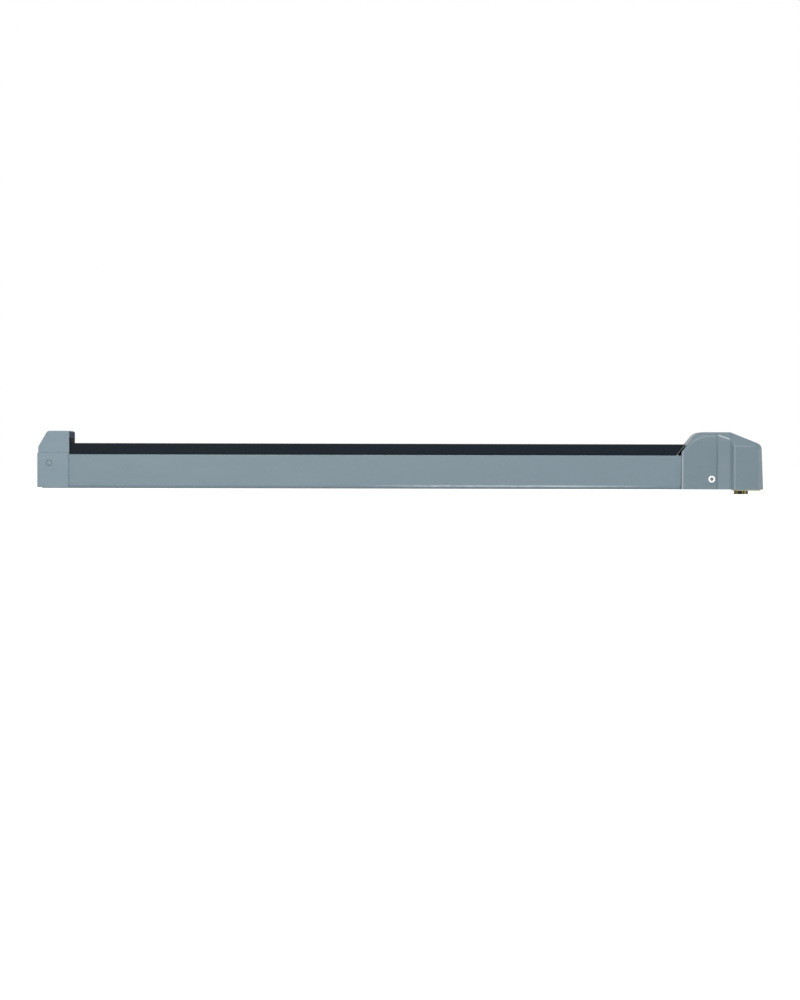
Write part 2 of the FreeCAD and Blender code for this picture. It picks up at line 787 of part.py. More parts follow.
def make_carrier(side, pivot):
    """Casting in the bar's ledges; its two lugs take the crank's drive pin in a slot."""
    mid = "%s + drive_dx" % pivot
    half = plug_half_wide()
    plate = block(side + "_carrier_plate", (mid + " - carrier_half_length", mid + " + carrier_half_length"),
                  ("-(%s)" % half, half), ("ledge_top + seat_gap", "bar_under - seat_gap"))
    stem_x = ("%s + drive_dx - link_pin - 3" % pivot, "%s + crank_arm + link_pin + 3" % pivot)
    lug_z = ("drive_z - link_pin - slot_gap - 2", "ledge_top + seat_gap")
    slot_x = ("%s + drive_dx - link_pin - slot_gap" % pivot, "%s + crank_arm + link_pin + slot_gap" % pivot)
    slot_z = ("drive_z - link_pin - slot_gap", "drive_z + link_pin + slot_gap")
    lugs = [block(side + "_lug", stem_x, y_pair(sign, "lug_inner", "lug_outer"), lug_z)
            for sign in ("-", "")]
    slot = block(side + "_slot", slot_x, ("-(lug_outer + 1)", "lug_outer + 1"), slot_z)
    holes = [rod(side + "_set_hole", mid + shift, "0", ("ledge_low", "bar_under + 1"), "set_screw + snug")
             for shift in (" - 17", " + 17")]
    node(side + "_carrier", cut(side + "_carrier_cut", fuse(side + "_carrier_cast", plate, *lugs), slot,
                                *holes))


def make_set_screws():
    """Two grub screws in each carrier, bearing on the bar's web."""
    screws = []
    for pivot in ("left_pivot", "right_pivot"):
        for shift in (" - 17", " + 17"):
            x = "%s + drive_dx%s" % (pivot, shift)
            grub = rod("grub", x, "0", ("ledge_top - 1", "bar_under"), "set_screw")
            recess = hexagon("grub_recess", x, "0", ("ledge_top - 2", "ledge_top + 1"), "set_screw / 2")
            screws.append(cut("grub_whole", grub, recess))
    node("carrier_set_screws", group("set_screw_group", *screws))


def make_glides():
    """Plastic buttons in the bar's walls; they rub on the rail instead of the paint."""
    glides = []
    for x in glide_places():
        for side in ("-", ""):
            face = y_pair(side, "bar_half", "rail_inner - seat_gap")
            stem = y_pair(side, "bar_inner - 1", "bar_half")
            head = rod("glide_face", x, face, "glide_z", "glide_radius")
            peg = rod("glide_peg", x, stem, "glide_z", "glide_stem")
            barb = rod("glide_barb", x, y_pair(side, "bar_inner - 1", "bar_inner"), "glide_z",
                       "glide_stem + 1")
            glides.append(fuse("glide_whole", head, peg, barb))
    node("bar_glides", group("glide_group", *glides))


# Crank stations

def make_crank_bracket(side, pivot):
    """Folded steel on the rail's floor: two ears for the pivot, a tab for the spring."""
    base = block(side + "_bracket_base", ("%s - bracket_tail" % pivot, "%s + bracket_nose" % pivot),
                 ("-bracket_foot", "bracket_foot"), ("rail_floor", "base_top"))
    pieces = [base]
    for sign in ("-", ""):
        y = y_pair(sign, "bracket_inner", "bracket_outer")
        pieces.append(block(side + "_ear", ("%s - bracket_half" % pivot, "%s + bracket_half" % pivot), y,
                            ("rail_floor", "pivot_z")))
        pieces.append(rod(side + "_ear_top", pivot, y, "pivot_z", "bracket_half"))
    tab_x = "%s - spring_tab_back" % pivot
    pieces.append(block(side + "_tab", (tab_x + " - spring_tab / 2", tab_x + " + spring_tab / 2"),
                        ("-spring_radius", "spring_radius"), ("rail_floor", "spring_z + spring_web")))
    tools = [rod(side + "_pivot_hole", pivot, ("-(bracket_outer + 1)", "bracket_outer + 1"), "pivot_z",
                 "pivot_pin + snug")]
    for x, y in bracket_screw_places(pivot):
        tools.append(rod(side + "_foot_hole", x, y, ("rail_floor - 1", "base_top + 1"),
                         "bracket_screw + snug"))
    tools.append(block(side + "_tab_slot", (tab_x + " - 2", tab_x + " + 2"), ("-spring_wire", "spring_wire"),
                       ("spring_z - spring_radius - spring_wire / 2 - seat_gap", "spring_z - spring_web")))
    node(side + "_crank_bracket", cut(side + "_bracket_cut", fuse(side + "_bracket_fold", *pieces), *tools))


def make_bracket_screws():
    screws = []
    for pivot in ("left_pivot", "right_pivot"):
        for x, y in bracket_screw_places(pivot):
            shank = rod("foot_shank", x, y, ("seat_gap", "base_top"), "bracket_screw")
            head = rod("foot_head", x, y, ("base_top", "base_top + screw_head_height"), "screw_head * 0.8")
            recess = hexagon("foot_recess", x, y, ("base_top + screw_head_height / 2", "base_top + 5"),
                             "hex_recess")
            screws.append(cut("foot_screw", fuse("foot_screw_blank", shank, head), recess))
    node("crank_bracket_screws", group("foot_screw_group", *screws))


def arm(name, pivot, angle, length):
    """A flat arm of the crank, as wide as its rounded end, at an angle above level."""
    def corner(along, across):
        x = "%s + %s * cos(%s) - %s * sin(%s)" % (pivot, along, angle, across, angle)
        z = "pivot_z + %s * sin(%s) + %s * cos(%s)" % (along, angle, across, angle)
        return (x, z)
    corners = [corner("0", "-crank_round"), corner(length, "-crank_round"),
               corner(length, "crank_round"), corner("0", "crank_round")]
    corners = [(x.replace("- -", "+ "), z.replace("+ -", "- ")) for x, z in corners]
    return padded_across(name, corners, "crank_half")


def make_crank(side, pivot):
    """Bell crank: the upper arm follows the bar, the lower arm pulls the rod."""
    width = ("-crank_half", "crank_half")
    drive_x = "%s + drive_dx" % pivot
    rod_x = "%s + rod_dx" % pivot
    pieces = [
        arm(side + "_upper_arm", pivot, "crank_lift", "crank_arm"),
        arm(side + "_lower_arm", pivot, "(crank_turn / 2 - 90)", "crank_drop"),
        rod(side + "_drive_eye", drive_x, width, "drive_z", "crank_round"),
        rod(side + "_rod_eye", rod_x, width, "rod_z", "crank_round"),
        rod(side + "_boss", pivot, ("-(bracket_inner - side_gap)", "bracket_inner - side_gap"), "pivot_z",
            "crank_boss"),
    ]
    reach = ("-bracket_inner", "bracket_inner")
    tools = [
        rod(side + "_pivot_bore", pivot, reach, "pivot_z", "pivot_pin + run_gap"),
        rod(side + "_drive_bore", drive_x, reach, "drive_z", "link_pin + snug"),
        rod(side + "_rod_bore", rod_x, reach, "rod_z", "link_pin + snug"),
    ]
    node(side + "_crank", cut(side + "_crank_cut", fuse(side + "_crank_blank", *pieces), *tools))


def headed_pin(name, x, z, reach, head):
    """A pin along Y with a flat head at each end."""
    shank = rod(name + "_shank", x, ("-(%s)" % reach, reach), z, "link_pin")
    ends = [rod(name + "_head", x, y_pair(side, reach, reach + " + pin_head"), z, head)
            for side in ("-", "")]
    return fuse(name, shank, *ends)


def make_crank_pins(side, pivot):
    node(side + "_drive_pin", headed_pin(side + "_drive", "%s + drive_dx" % pivot, "drive_z",
                                         "(lug_outer + seat_gap)", "link_pin + 1"))
    node(side + "_rod_pin", headed_pin(side + "_rod", "%s + rod_dx" % pivot, "rod_z",
                                       "(strap_outer + seat_gap / 2)", "link_pin + 0.8"))
    shank = rod(side + "_pivot_shank", pivot, ("-bracket_outer", "bracket_outer + 2 * clip_wall + pin_head"),
                "pivot_z", "pivot_pin")
    head = rod(side + "_pivot_head", pivot, ("-(bracket_outer + 1.6)", "-bracket_outer"), "pivot_z",
               "pivot_pin + 1.5")
    groove = ring(side + "_pivot_groove", pivot, clip_place("seat_gap"), "pivot_z", "pivot_pin + 1",
                  "pivot_pin - 0.5")
    node(side + "_pivot_pin", cut(side + "_pivot_cut", fuse(side + "_pivot_whole", shank, head), groove))


def clip_place(slack):
    """Where the pivot pins' clips sit, just outside the bracket's far ear."""
    low = "bracket_outer + clip_wall / 2"
    return (low + " - %s / 2" % slack, low + " + clip_wall + %s / 2" % slack)


def ring(name, x, y, z, outer, inner):
    return cut(name, rod(name + "_disc", x, y, z, outer), rod(name + "_eye", x, y, z, inner))


def make_pivot_clips():
    clips = []
    for pivot in ("left_pivot", "right_pivot"):
        hoop = ring("clip_hoop", pivot, clip_place("0"), "pivot_z", "pivot_pin + clip_rim",
                    "pivot_pin - 0.4")
        gap = block("clip_gap", (pivot + " - pivot_pin * 0.7", pivot + " + pivot_pin * 0.7"),
                    clip_place("2"), ("pivot_z - pivot_pin - clip_rim - 1", "pivot_z"))
        clips.append(cut("clip_whole", hoop, gap))
    node("pivot_clips", group("clip_pair", *clips))


# Pull rod

def spring_pin_x(pivot):
    return "%s - spring_tab_back - spring_span" % pivot


def rivet_places():
    return ("-(slider_tail - 8)", "-(slider_tail - 28)")


def make_strap(side, label):
    y = y_pair(side, "strap_inner", "strap_outer")
    reach = ("-(strap_outer + 1)", "strap_outer + 1")
    bar = block(label + "_bar", (spring_pin_x("left_pivot") + " - strap_tail", "-strap_end"), y,
                ("strap_low", "strap_high"))
    tools = []
    for pivot in ("left_pivot", "right_pivot"):
        rod_x = "%s + rod_dx" % pivot
        tools.append(block(label + "_slot",
                           (rod_x + " - link_pin - slot_gap / 2", rod_x + " + link_pin + slot_gap / 2"),
                           reach,
                           ("pivot_z - crank_drop - link_pin - slot_gap / 2",
                            "rod_z + link_pin + slot_gap / 2")))
        tools.append(rod(label + "_spring_hole", spring_pin_x(pivot), reach, "spring_z",
                         "spring_pin + snug"))
    for x in rivet_places():
        tools.append(rod(label + "_rivet_hole", x, reach, rivet_z(), "slider_rivet + snug"))
    node(label, cut(label + "_cut", bar, *tools))


def rivet_z():
    return "(strap_low + strap_high) / 2"


def make_slider():
    """Casting riveted between the straps; its slot drives the lever's pin."""
    half = ("-slider_half", "slider_half")
    arm_z = ("slider_arm_low", "slider_arm_low + slider_arm")
    head_low = "lever_dx - link_pin - slider_rim"
    head_high = "lever_dx + link_pin + slider_rim"
    shank = block("slider_shank", ("-slider_tail", "-slider_shoulder"), half,
                  ("strap_low + seat_gap", "strap_high"))
    tongue = block("slider_tongue", ("-slider_shoulder - 1", head_high), half, arm_z)
    far = "lever_arm + link_pin + slot_gap"
    head = block("slider_head", (head_low, head_high), ("-slider_half", far + " + slider_rim"), arm_z)
    slot = block("slider_slot", ("lever_dx - link_pin - slot_gap / 2", "lever_dx + link_pin + slot_gap / 2"),
                 ("lever_dy - link_pin - slot_gap", far),
                 ("slider_arm_low - 1", "slider_arm_low + slider_arm + 1"))
    holes = [rod("slider_hole", x, ("-strap_outer", "strap_outer"), rivet_z(), "slider_rivet + snug")
             for x in rivet_places()]
    node("drive_slider", cut("slider_cut", fuse("slider_cast", shank, tongue, head), slot, *holes))


def make_slider_rivets():
    rivets = []
    for x in rivet_places():
        shank = rod("slider_rivet_shank", x, ("-strap_outer", "strap_outer"), rivet_z(), "slider_rivet")
        ends = [rod("slider_rivet_end", x, y_pair(side, "strap_outer", "strap_outer + pin_head"), rivet_z(),
                    "slider_rivet + 1") for side in ("-", "")]
        rivets.append(fuse("slider_rivet_whole", shank, *ends))
    node("slider_rivets", group("slider_rivet_pair", *rivets))


def make_spring_pins():
    pins = [rod("spring_pin", spring_pin_x(pivot), ("-strap_outer", "strap_outer"), "spring_z", "spring_pin")
            for pivot in ("left_pivot", "right_pivot")]
    node("spring_pins", group("spring_pin_pair", *pins))


def make_saddle():
    """Nylon saddle half way along the rail; the straps slide in its two channels."""
    inner = "strap_inner - seat_gap"
    outer = "strap_outer + seat_gap"
    floor = "strap_low - seat_gap"
    side = "%s + saddle_wall" % outer
    tall = "strap_high + 2"
    profile = [
        ("-(%s)" % side, "rail_floor"), (side, "rail_floor"), (side, tall), (outer, tall), (outer, floor),
        (inner, floor), (inner, "strap_high - 2"), ("-(%s)" % inner, "strap_high - 2"),
        ("-(%s)" % inner, floor),
        ("-(%s)" % outer, floor), ("-(%s)" % outer, tall), ("-(%s)" % side, tall),
    ]
    body = padded("saddle_body", "YZ_Plane", profile, "-saddle_back - saddle_half_length",
                  "-saddle_back + saddle_half_length")
    peg = rod("saddle_peg_rod", "-saddle_back", "0", ("seat_gap", "rail_floor + 1"), "saddle_peg")
    node("rod_saddle", fuse("saddle_whole", body, peg))


# Return springs

def biarc(start, start_way, end, end_way):
    """Two arcs that leave one point and reach the next along given directions."""
    chord = end - start
    ways = start_way + end_way
    spare = 2 * (1 - start_way.dot(end_way))
    reach = (-chord.dot(ways) + math.sqrt(chord.dot(ways) ** 2 + spare * chord.dot(chord))) / spare
    first_knee = start + start_way * reach
    last_knee = end - end_way * reach
    middle = (first_knee + last_knee) * 0.5
    middle_way = (last_knee - first_knee).normalize()
    return [arc_over(start, first_knee, middle, start_way, middle_way),
            arc_over(middle, last_knee, end, middle_way, end_way)]


def arc_over(start, knee, end, start_way, end_way):
    """The arc between two points that is tangent to both legs of their knee."""
    weight = math.sqrt((1 + start_way.dot(end_way)) / 2)
    top = (start + knee * (2 * weight) + end) * (1 / (2 + 2 * weight))
    return Part.Arc(start, top, end).toShape()


def spring_path(left, right, radius, turns, knee):
    """Hook, coil, hook: the coil's ends turn into half loops in the middle plane."""
    vector = FreeCAD.Vector
    coil_left = left + radius + knee
    coil_right = right - radius - knee
    pitch = (coil_right - coil_left) / turns

    def point(turn):
        angle = 2 * math.pi * turn
        return vector(coil_left + pitch * turn, radius * math.sin(angle), radius * math.cos(angle))

    def way(turn):
        angle = 2 * math.pi * turn
        return vector(pitch / (2 * math.pi), radius * math.cos(angle), -radius * math.sin(angle)).normalize()

    edges = [Part.Arc(vector(left + radius, 0, -radius), vector(left, 0, 0),
                      vector(left + radius, 0, radius)).toShape()]
    edges += biarc(vector(left + radius, 0, radius), vector(1, 0, 0), point(0.125), way(0.125))
    steps = int(turns * 4)
    for n in range(steps - 1):
        start = 0.125 + n / 4
        edges += biarc(point(start), way(start), point(start + 0.25), way(start + 0.25))
    last = 0.125 + (steps - 1) / 4
    edges += biarc(point(last), way(last), vector(right - radius, 0, radius), vector(1, 0, 0))
    edges.append(Part.Arc(vector(right - radius, 0, radius), vector(right, 0, 0),
                          vector(right - radius, 0, -radius)).toShape())
    return Part.Wire(edges)


def make_spring(side, pivot):
    """Extension spring from a pin in the straps to the bracket's tab."""
    wire = value("spring_wire")
    radius = value("spring_radius")
    left = value(spring_pin_x(pivot)) - value("spring_pin") - wire / 2 - value("run_gap")
    right = value("%s - spring_tab_back + spring_tab / 2 - hook_reach + spring_radius" % pivot)
    path = spring_path(left, right, radius, value("spring_turns"), 2 * wire)
    start = path.Edges[0].Vertexes[0].Point
    profile = Part.Wire([Part.Circle(start, path.Edges[0].tangentAt(path.Edges[0].FirstParameter),
                                     wire / 2).toShape()])
    spring = doc.addObject("Part::Feature", side + "_spring_coil")
    spring.Shape = path.makePipeShell([profile], True, False)
    spring.Placement = FreeCAD.Placement(FreeCAD.Vector(0, 0, value("spring_z")), FreeCAD.Rotation())
    length = sum(edge.Length for edge in path.Edges)
    print(side, "spring: gap between turns", round((right - left) / value("spring_turns") - wire, 2),
          "volume against section times length",
          round(spring.Shape.Volume / (math.pi * wire ** 2 / 4 * length), 3))
    node(side + "_return_spring", spring)


# Lock case

def chassis_fixings(name, low, high):
    """Four door fixings in the chassis."""
    rods = []
    for x in ("-fixing_back - fixing_pitch / 2", "-fixing_back + fixing_pitch / 2"):
        for side in ("-", ""):
            rods.append(rod(name, x, side + "fixing_spread / 2", (low, high), "fixing_hole"))
    return rods


def hub_plate_corners():
    x_pair = ("-(hub_plate_left - hub_plate_inset)", "hub_plate_right - hub_plate_inset")
    return [(x, side + "(hub_plate_half - hub_plate_inset)") for x in x_pair for side in ("-", "")]


def make_chassis():
    """Folded steel: base plate, two cheeks, and a joggled tongue on the rail's floor."""
    start = "rail_right + seat_gap"
    block_half_y = "(block_half - cover_wall - 2.3)"
    outline = [
        (start, "-chassis_half"), ("-chassis_block_back", "-chassis_half"),
        ("-chassis_block_back", "-" + block_half_y), ("chassis_end", "-" + block_half_y),
        ("chassis_end", block_half_y), ("-chassis_block_back", block_half_y),
        ("-chassis_block_back", "chassis_half"), (start, "chassis_half"),
    ]
    pieces = [padded("chassis_base", "XY_Plane", outline, "0", "chassis_wall")]
    pieces.append(block("chassis_tongue_plate", ("rail_right - chassis_tongue", start + " + chassis_wall"),
                        ("-chassis_tongue_half", "chassis_tongue_half"),
                        ("rail_floor", "rail_floor + chassis_wall")))
    for side in ("-", ""):
        y = y_pair(side, "chassis_cheek_half", "chassis_cheek_half + chassis_wall")
        pieces.append(block("chassis_cheek", (start + " + guide_wall + seat_gap", "chassis_cheek_end"), y,
                            ("0", "chassis_cheek_top")))
    tools = chassis_fixings("chassis_fixing", "-1", "chassis_wall + 1")
    tools.append(rod("chassis_bore", "0", "0", ("-1", "chassis_wall + 1"), "hub_radius + run_gap"))
    for x, y in hub_plate_corners():
        tools.append(rod("chassis_plate_hole", x, y, ("-1", "chassis_wall + 1"), "hub_plate_screw + snug"))
        tools.append(sink_cone("chassis_plate_sink", x, y, "snug"))
    for side in ("-", ""):
        tools.append(rod("chassis_tongue_hole", "-tongue_screw_back", side + "tongue_screw_half",
                         ("rail_floor - 1", "rail_floor + chassis_wall + 1"), "tongue_screw + snug"))
        y = y_pair(side, "chassis_cheek_half - 1", "chassis_cheek_half + chassis_wall + 1")
        tools.append(rod("chassis_nut_hole", "-cover_screw_back", y, "cover_screw_z", "nut_radius + snug"))
        tools.append(rod("chassis_bridge_hole", bridge_mid(), side + bridge_screw_y(),
                         ("-1", "chassis_wall + 1"),
                         "bridge_screw + snug"))
    node("chassis", cut("chassis_cut", fuse("chassis_fold", *pieces), *tools))


def sink_cone(name, x, y, slack):
    """The countersink of a hub plate screw, open at the plate's back."""
    head = "hub_plate_screw * 2 + %s" % slack
    return cone(name, x, y, ("-hub_plate_wall", "-hub_plate_wall + hub_plate_screw"), head,
                "hub_plate_screw + %s" % slack)


def make_tongue_screws():
    screws = []
    for side in ("-", ""):
        y = side + "tongue_screw_half"
        top = "rail_floor + chassis_wall"
        shank = rod("tongue_shank", "-tongue_screw_back", y, ("seat_gap", top), "tongue_screw")
        head = rod("tongue_head", "-tongue_screw_back", y, (top, top + " + screw_head_height"),
                   "screw_head + 0.5")
        recess = hexagon("tongue_recess", "-tongue_screw_back", y,
                         (top + " + screw_head_height / 2", top + " + 5"), "hex_recess")
        screws.append(cut("tongue_screw_cut", fuse("tongue_screw_blank", shank, head), recess))
    node("tongue_screws", group("tongue_screw_pair", *screws))


def make_hub_plate():
    z = ("-hub_plate_wall", "0")
    plate = fuse("hub_plate_blank",
                 block("hub_plate_sheet", ("-hub_plate_left", "hub_plate_right"),
                       ("-hub_plate_half", "hub_plate_half"), z),
                 rod("hub_plate_lobe", "0", "0", z, "hub_plate_nose"))
    tools = [rod("hub_plate_bore", "0", "0", ("-hub_plate_wall - 1", "1"), "hub_radius + run_gap")]
    tools += [sink_cone("hub_plate_sink", x, y, "snug") for x, y in hub_plate_corners()]
    node("hub_plate", cut("hub_plate_cut", plate, *tools))


def make_hub_plate_screws():
    screws = []
    for x, y in hub_plate_corners():
        head = sink_cone("plate_screw_head", x, y, "0")
        shank = rod("plate_screw_shank", x, y, ("-hub_plate_wall", "chassis_wall"), "hub_plate_screw")
        recess = hexagon("plate_screw_recess", x, y, ("-hub_plate_wall - 1", "0"), "hub_plate_screw * 0.9")
        screws.append(cut("plate_screw", fuse("plate_screw_blank", head, shank), recess))
    node("hub_plate_screws", group("plate_screw_group", *screws))


def square_post(name, half, z):
    return block(name, ("-(%s)" % half, half), ("-(%s)" % half, half), z)


def make_hub():
    """Brass hub: a spigot into the lock's follower, a flange, and a square for the lever."""
    pieces = [
        rod("hub_free_end", "0", "0", ("-hub_tip", "-hub_plate_wall - seat_gap"), "hub_spigot"),
        rod("hub_journal", "0", "0", ("-hub_plate_wall - seat_gap", "flange_top"), "hub_radius"),
        rod("hub_collar", "0", "0", ("chassis_wall + run_gap", "flange_top"), "hub_flange"),
        square_post("hub_post", "hub_square / 2", ("flange_top", "lever_top")),
        rod("hub_stub_rod", "0", "0", ("lever_top", "hub_top"), "hub_stub"),
    ]
    socket = square_post("hub_socket_hole", "hub_socket / 2", ("-hub_tip - 1", "hub_socket_top"))
    groove = ring("hub_groove", "0", "0", hub_clip_place("seat_gap"), "hub_stub + 1", "hub_stub - 0.8")
    node("spindle_hub", cut("hub_cut", fuse("hub_turned", *pieces), socket, groove))


def hub_clip_place(slack):
    return ("lever_top + seat_gap - %s / 2" % slack, "lever_top + seat_gap + clip_wall + %s / 2" % slack)


def make_hub_clip():
    hoop = ring("hub_clip_hoop", "0", "0", hub_clip_place("0"), "hub_stub + clip_rim", "hub_stub - 0.7")
    gap = block("hub_clip_gap", ("-hub_stub * 0.6", "hub_stub * 0.6"), ("-hub_stub - clip_rim - 1", "0"),
                hub_clip_place("2"))
    node("hub_clip", cut("hub_clip_cut", hoop, gap))


def make_lever():
    """Steel lever on the hub's square; its pin stands in the slider's slot."""
    z = ("flange_top + seat_gap / 2", "lever_top - seat_gap / 2")
    boss = rod("lever_boss_disc", "0", "0", z, "lever_boss")
    eye = rod("lever_eye", "lever_dx", "lever_dy", z, "link_pin + 2.5")
    side = "(link_pin + 2.5)"

    def corner(along, across):
        x = "%s * sin(lever_turn / 2) + %s * cos(lever_turn / 2)" % (along, across)
        y = "%s * cos(lever_turn / 2) - %s * sin(lever_turn / 2)" % (along, across)
        return (x, y)
    outline = [corner("0", side), corner("0", "(-%s)" % side), corner("lever_arm", "(-%s)" % side),
               corner("lever_arm", side)]
    web = padded("lever_web", "XY_Plane", outline, *z)
    square = square_post("lever_square", "hub_square / 2 + snug", ("flange_top - 1", "lever_top + 1"))
    hole = rod("lever_pin_hole", "lever_dx", "lever_dy", ("flange_top - 1", "lever_top + 1"),
               "link_pin + snug")
    node("hub_lever", cut("lever_cut", fuse("lever_blank", boss, eye, web), square, hole))


def make_lever_pin():
    top = "slider_arm_low + slider_arm + 0.6"
    pin = rod("lever_pin_rod", "lever_dx", "lever_dy", ("flange_top + seat_gap / 2", top), "link_pin")
    node("lever_pin", pin)


def bridge_mid():
    return "-(slider_shoulder - seat_gap - bridge_length / 2)"


def bridge_screw_y():
    return "(slider_half + 4.7 + bridge_wall + bridge_foot / 2)"


def make_slider_bridge():
    """Stirrup over the slider's tongue: it keeps the slider down and stops it at rest."""
    x = ("-(slider_shoulder - seat_gap)", "-(slider_shoulder - seat_gap - bridge_length)")
    inner = "(slider_half + 4.7)"
    outer = inner + " + bridge_wall"
    under = "slider_arm_low + slider_arm + seat_gap"
    top = under + " + bridge_wall"
    pieces = [block("bridge_top", x, ("-(%s)" % outer, outer), (under, top))]
    for side in ("-", ""):
        pieces.append(block("bridge_leg", x, y_pair(side, inner, outer), ("chassis_wall", top)))
        pieces.append(block("bridge_foot_plate", x, y_pair(side, inner, outer + " + bridge_foot"),
                            ("chassis_wall", "chassis_wall + bridge_wall")))
    tools = [rod("bridge_hole", bridge_mid(), side + bridge_screw_y(),
                 ("chassis_wall - 1", "chassis_wall + bridge_wall + 1"),
                 "bridge_screw + snug") for side in ("-", "")]
    node("slider_bridge", cut("bridge_cut", fuse("bridge_fold", *pieces), *tools))


def make_bridge_screws():
    screws = []
    for side in ("-", ""):
        y = side + bridge_screw_y()
        top = "chassis_wall + bridge_wall"
        shank = rod("bridge_shank", bridge_mid(), y, ("0.3", top), "bridge_screw")
        head = rod("bridge_head", bridge_mid(), y, (top, top + " + 1.6"), "bridge_screw + 1.2")
        recess = hexagon("bridge_recess", bridge_mid(), y, (top + " + 0.8", top + " + 3"),
                         "bridge_screw * 0.8")
        screws.append(cut("bridge_screw_cut", fuse("bridge_screw_blank", shank, head), recess))
    node("bridge_screws", group("bridge_screw_pair", *screws))


# Case cover

def cover_form(name, inset):
    """The cover's outer form, or with an inset its hollow.

    A side view padded across, then trimmed to the plan's outline. The bevel comes last: it is the hip
    of the roof, and at both ends it turns down, round the nose to the cheek and round the shoulder.
    """
    slope_run = "(%s) / sin(nose_slope)" % inset
    top = "cover_top - %s" % inset
    corners = {
        "shoulder_round": ("end_top_x - %s" % inset,
                           "shoulder_z - %s * (1 / cos(roof_slope) - tan(roof_slope))" % inset),
        "ridge_round": ("-ridge_back - %s * tan(roof_slope / 2)" % inset, top),
        "nose_round": ("cover_left + %s + (%s - nose_z) / tan(nose_slope)" % (slope_run, top), top),
        "cheek_round": ("cover_left + %s" % inset,
                        "nose_z + (%s - %s) * tan(nose_slope)" % (inset, slope_run)),
    }
    foot = [("cover_left - nose_lean + %s" % inset, "-(%s)" % inset),
            ("case_end - %s" % inset, "-(%s)" % inset)]
    body = padded_across(name, foot + list(corners.values()), "block_half - %s" % inset)
    for radius, (x, z) in corners.items():
        rounded(body, "%s - %s" % (radius, inset),
                lambda edge, x=x, z=z: runs_along(edge, "y") and at(edge, x=x, z=z))

    def trim(sign):
        flare = "cover_half - crease_step + flare_out"
        edge = [
            ("cover_left - 5", "cover_half"),
            ("-crease_back", "cover_half"),
            ("-(crease_back - crease_run)", "cover_half - crease_step"),
            ("-flare_end", flare),
            ("-block_back", "block_half"),
        ]
        outside = [("-block_back", "block_half + 5"), ("cover_left - 5", "block_half + 5")]
        inner = [(x, "%s(%s - %s)" % (sign, y, inset)) for x, y in edge]
        return inner + [(x, "%s(%s)" % (sign, y)) for x, y in outside]
    pocket(body, "XY_Plane", [trim("-"), trim("")])

    def bevel(base, half):
        """The bevel's section on both sides, its heights counted from the given base."""
        outside = "(%s - %s + 1)" % (half, inset)
        drop = "%s / cos(hip_slope)" % inset
        low = "hip_z + (block_half - %s) * tan(hip_slope) - %s - (%s)" % (outside, drop, base)
        high = "cover_top + 5 - (%s)" % base
        inside = "(block_half - (cover_top + 5 - hip_z + %s) / tan(hip_slope))" % drop
        return [[(sign + outside, low), (sign + inside, high), (sign + outside, high)] for sign in ("-", "")]

    nose = ("nose_turn_x", "nose_turn_z")
    cheek = ("cheek_turn_x", "cheek_turn_z")
    shoulder = ("end_turn_x", "end_turn_z")
    at_nose = bevel("nose_turn_z", "cover_half + 3")
    at_cheek = bevel("hip_line - cheek_round + nose_bevel", "cover_half")
    at_shoulder = bevel("end_turn_z", "block_half")
    cut_along(body, ("end_turn_x", "0"), "0", bevel("0", "block_half"), length="end_turn_x - nose_turn_x")
    cut_round(body, nose, "0", at_nose, "nose_slope", back=True)
    cut_along(body, nose, "-nose_slope", at_nose, length="nose_flat")
    cut_round(body, cheek, "-nose_slope", at_cheek, "90 - nose_slope - nose_tilt", back=True)
    cut_along(body, cheek, "nose_tilt - 90", at_cheek)
    cut_round(body, shoulder, "0", at_shoulder, "90")
    cut_along(body, shoulder, "90", at_shoulder, back=True)
    return body


def cover_edge(shape, edge, least, most):
    """Whether an edge of the cover's upper part or of its ends' uprights bends within two limits."""
    middle = edge.CenterOfMass
    if abs(middle.y) < value("cover_half / 2"):
        return False
    upright = edge.BoundBox.ZLength > 20 and not value("cheek_turn_x") < middle.x < value("end_turn_x")
    return (upright or middle.z > value("nose_z - 2")) and least < bend(shape, edge) < most


def make_case_cover():
    outer = cover_form("cover_outer", "0")
    flare = "cover_half - crease_step + flare_out"
    rounded(outer, "waist_round", lambda edge: runs_along(edge, "z") and at(edge, x="flare_end", y=flare))
    rounded(outer, "step_round",
            lambda edge: runs_along(edge, "z") and at(edge, x="block_back", y="block_half"))
    rounded(outer, "bevel_round", lambda edge: cover_edge(outer.Tip.Shape, edge, 7, 56))
    rounded(outer, "edge_round", lambda edge: cover_edge(outer.Tip.Shape, edge, 30, 180))
    inner = cover_form("cover_inner_form", "cover_wall")
    hollow = cut("cover_hollow", outer, inner)
    mouth = block("cover_mouth", ("cover_left - nose_lean - 1", "cover_left + cover_wall + 8"),
                  ("-cover_inner", "cover_inner"), ("-5", "mouth_top"))
    tools = [mouth]
    for side in ("-", ""):
        tools.append(cover_screw_cone("cover_sink", side, "snug"))
        tools.append(rod("cover_hole", "-cover_screw_back", y_pair(side, "cover_inner - 1", "cover_half"),
                         "cover_screw_z", "cover_screw + snug"))
    node("case_cover", cut("cover_drilled", hollow, *tools))


def cover_screw_cone(name, side, slack):
    """The countersunk head of a cover screw, wide at the cover's face."""
    wide = "cover_screw_head + %s" % slack
    narrow = "cover_screw + %s" % slack
    y = y_pair(side, "cover_half - cover_screw", "cover_half")
    radii = (wide, narrow) if side == "-" else (narrow, wide)
    return cone(name, "-cover_screw_back", y, "cover_screw_z", *radii)


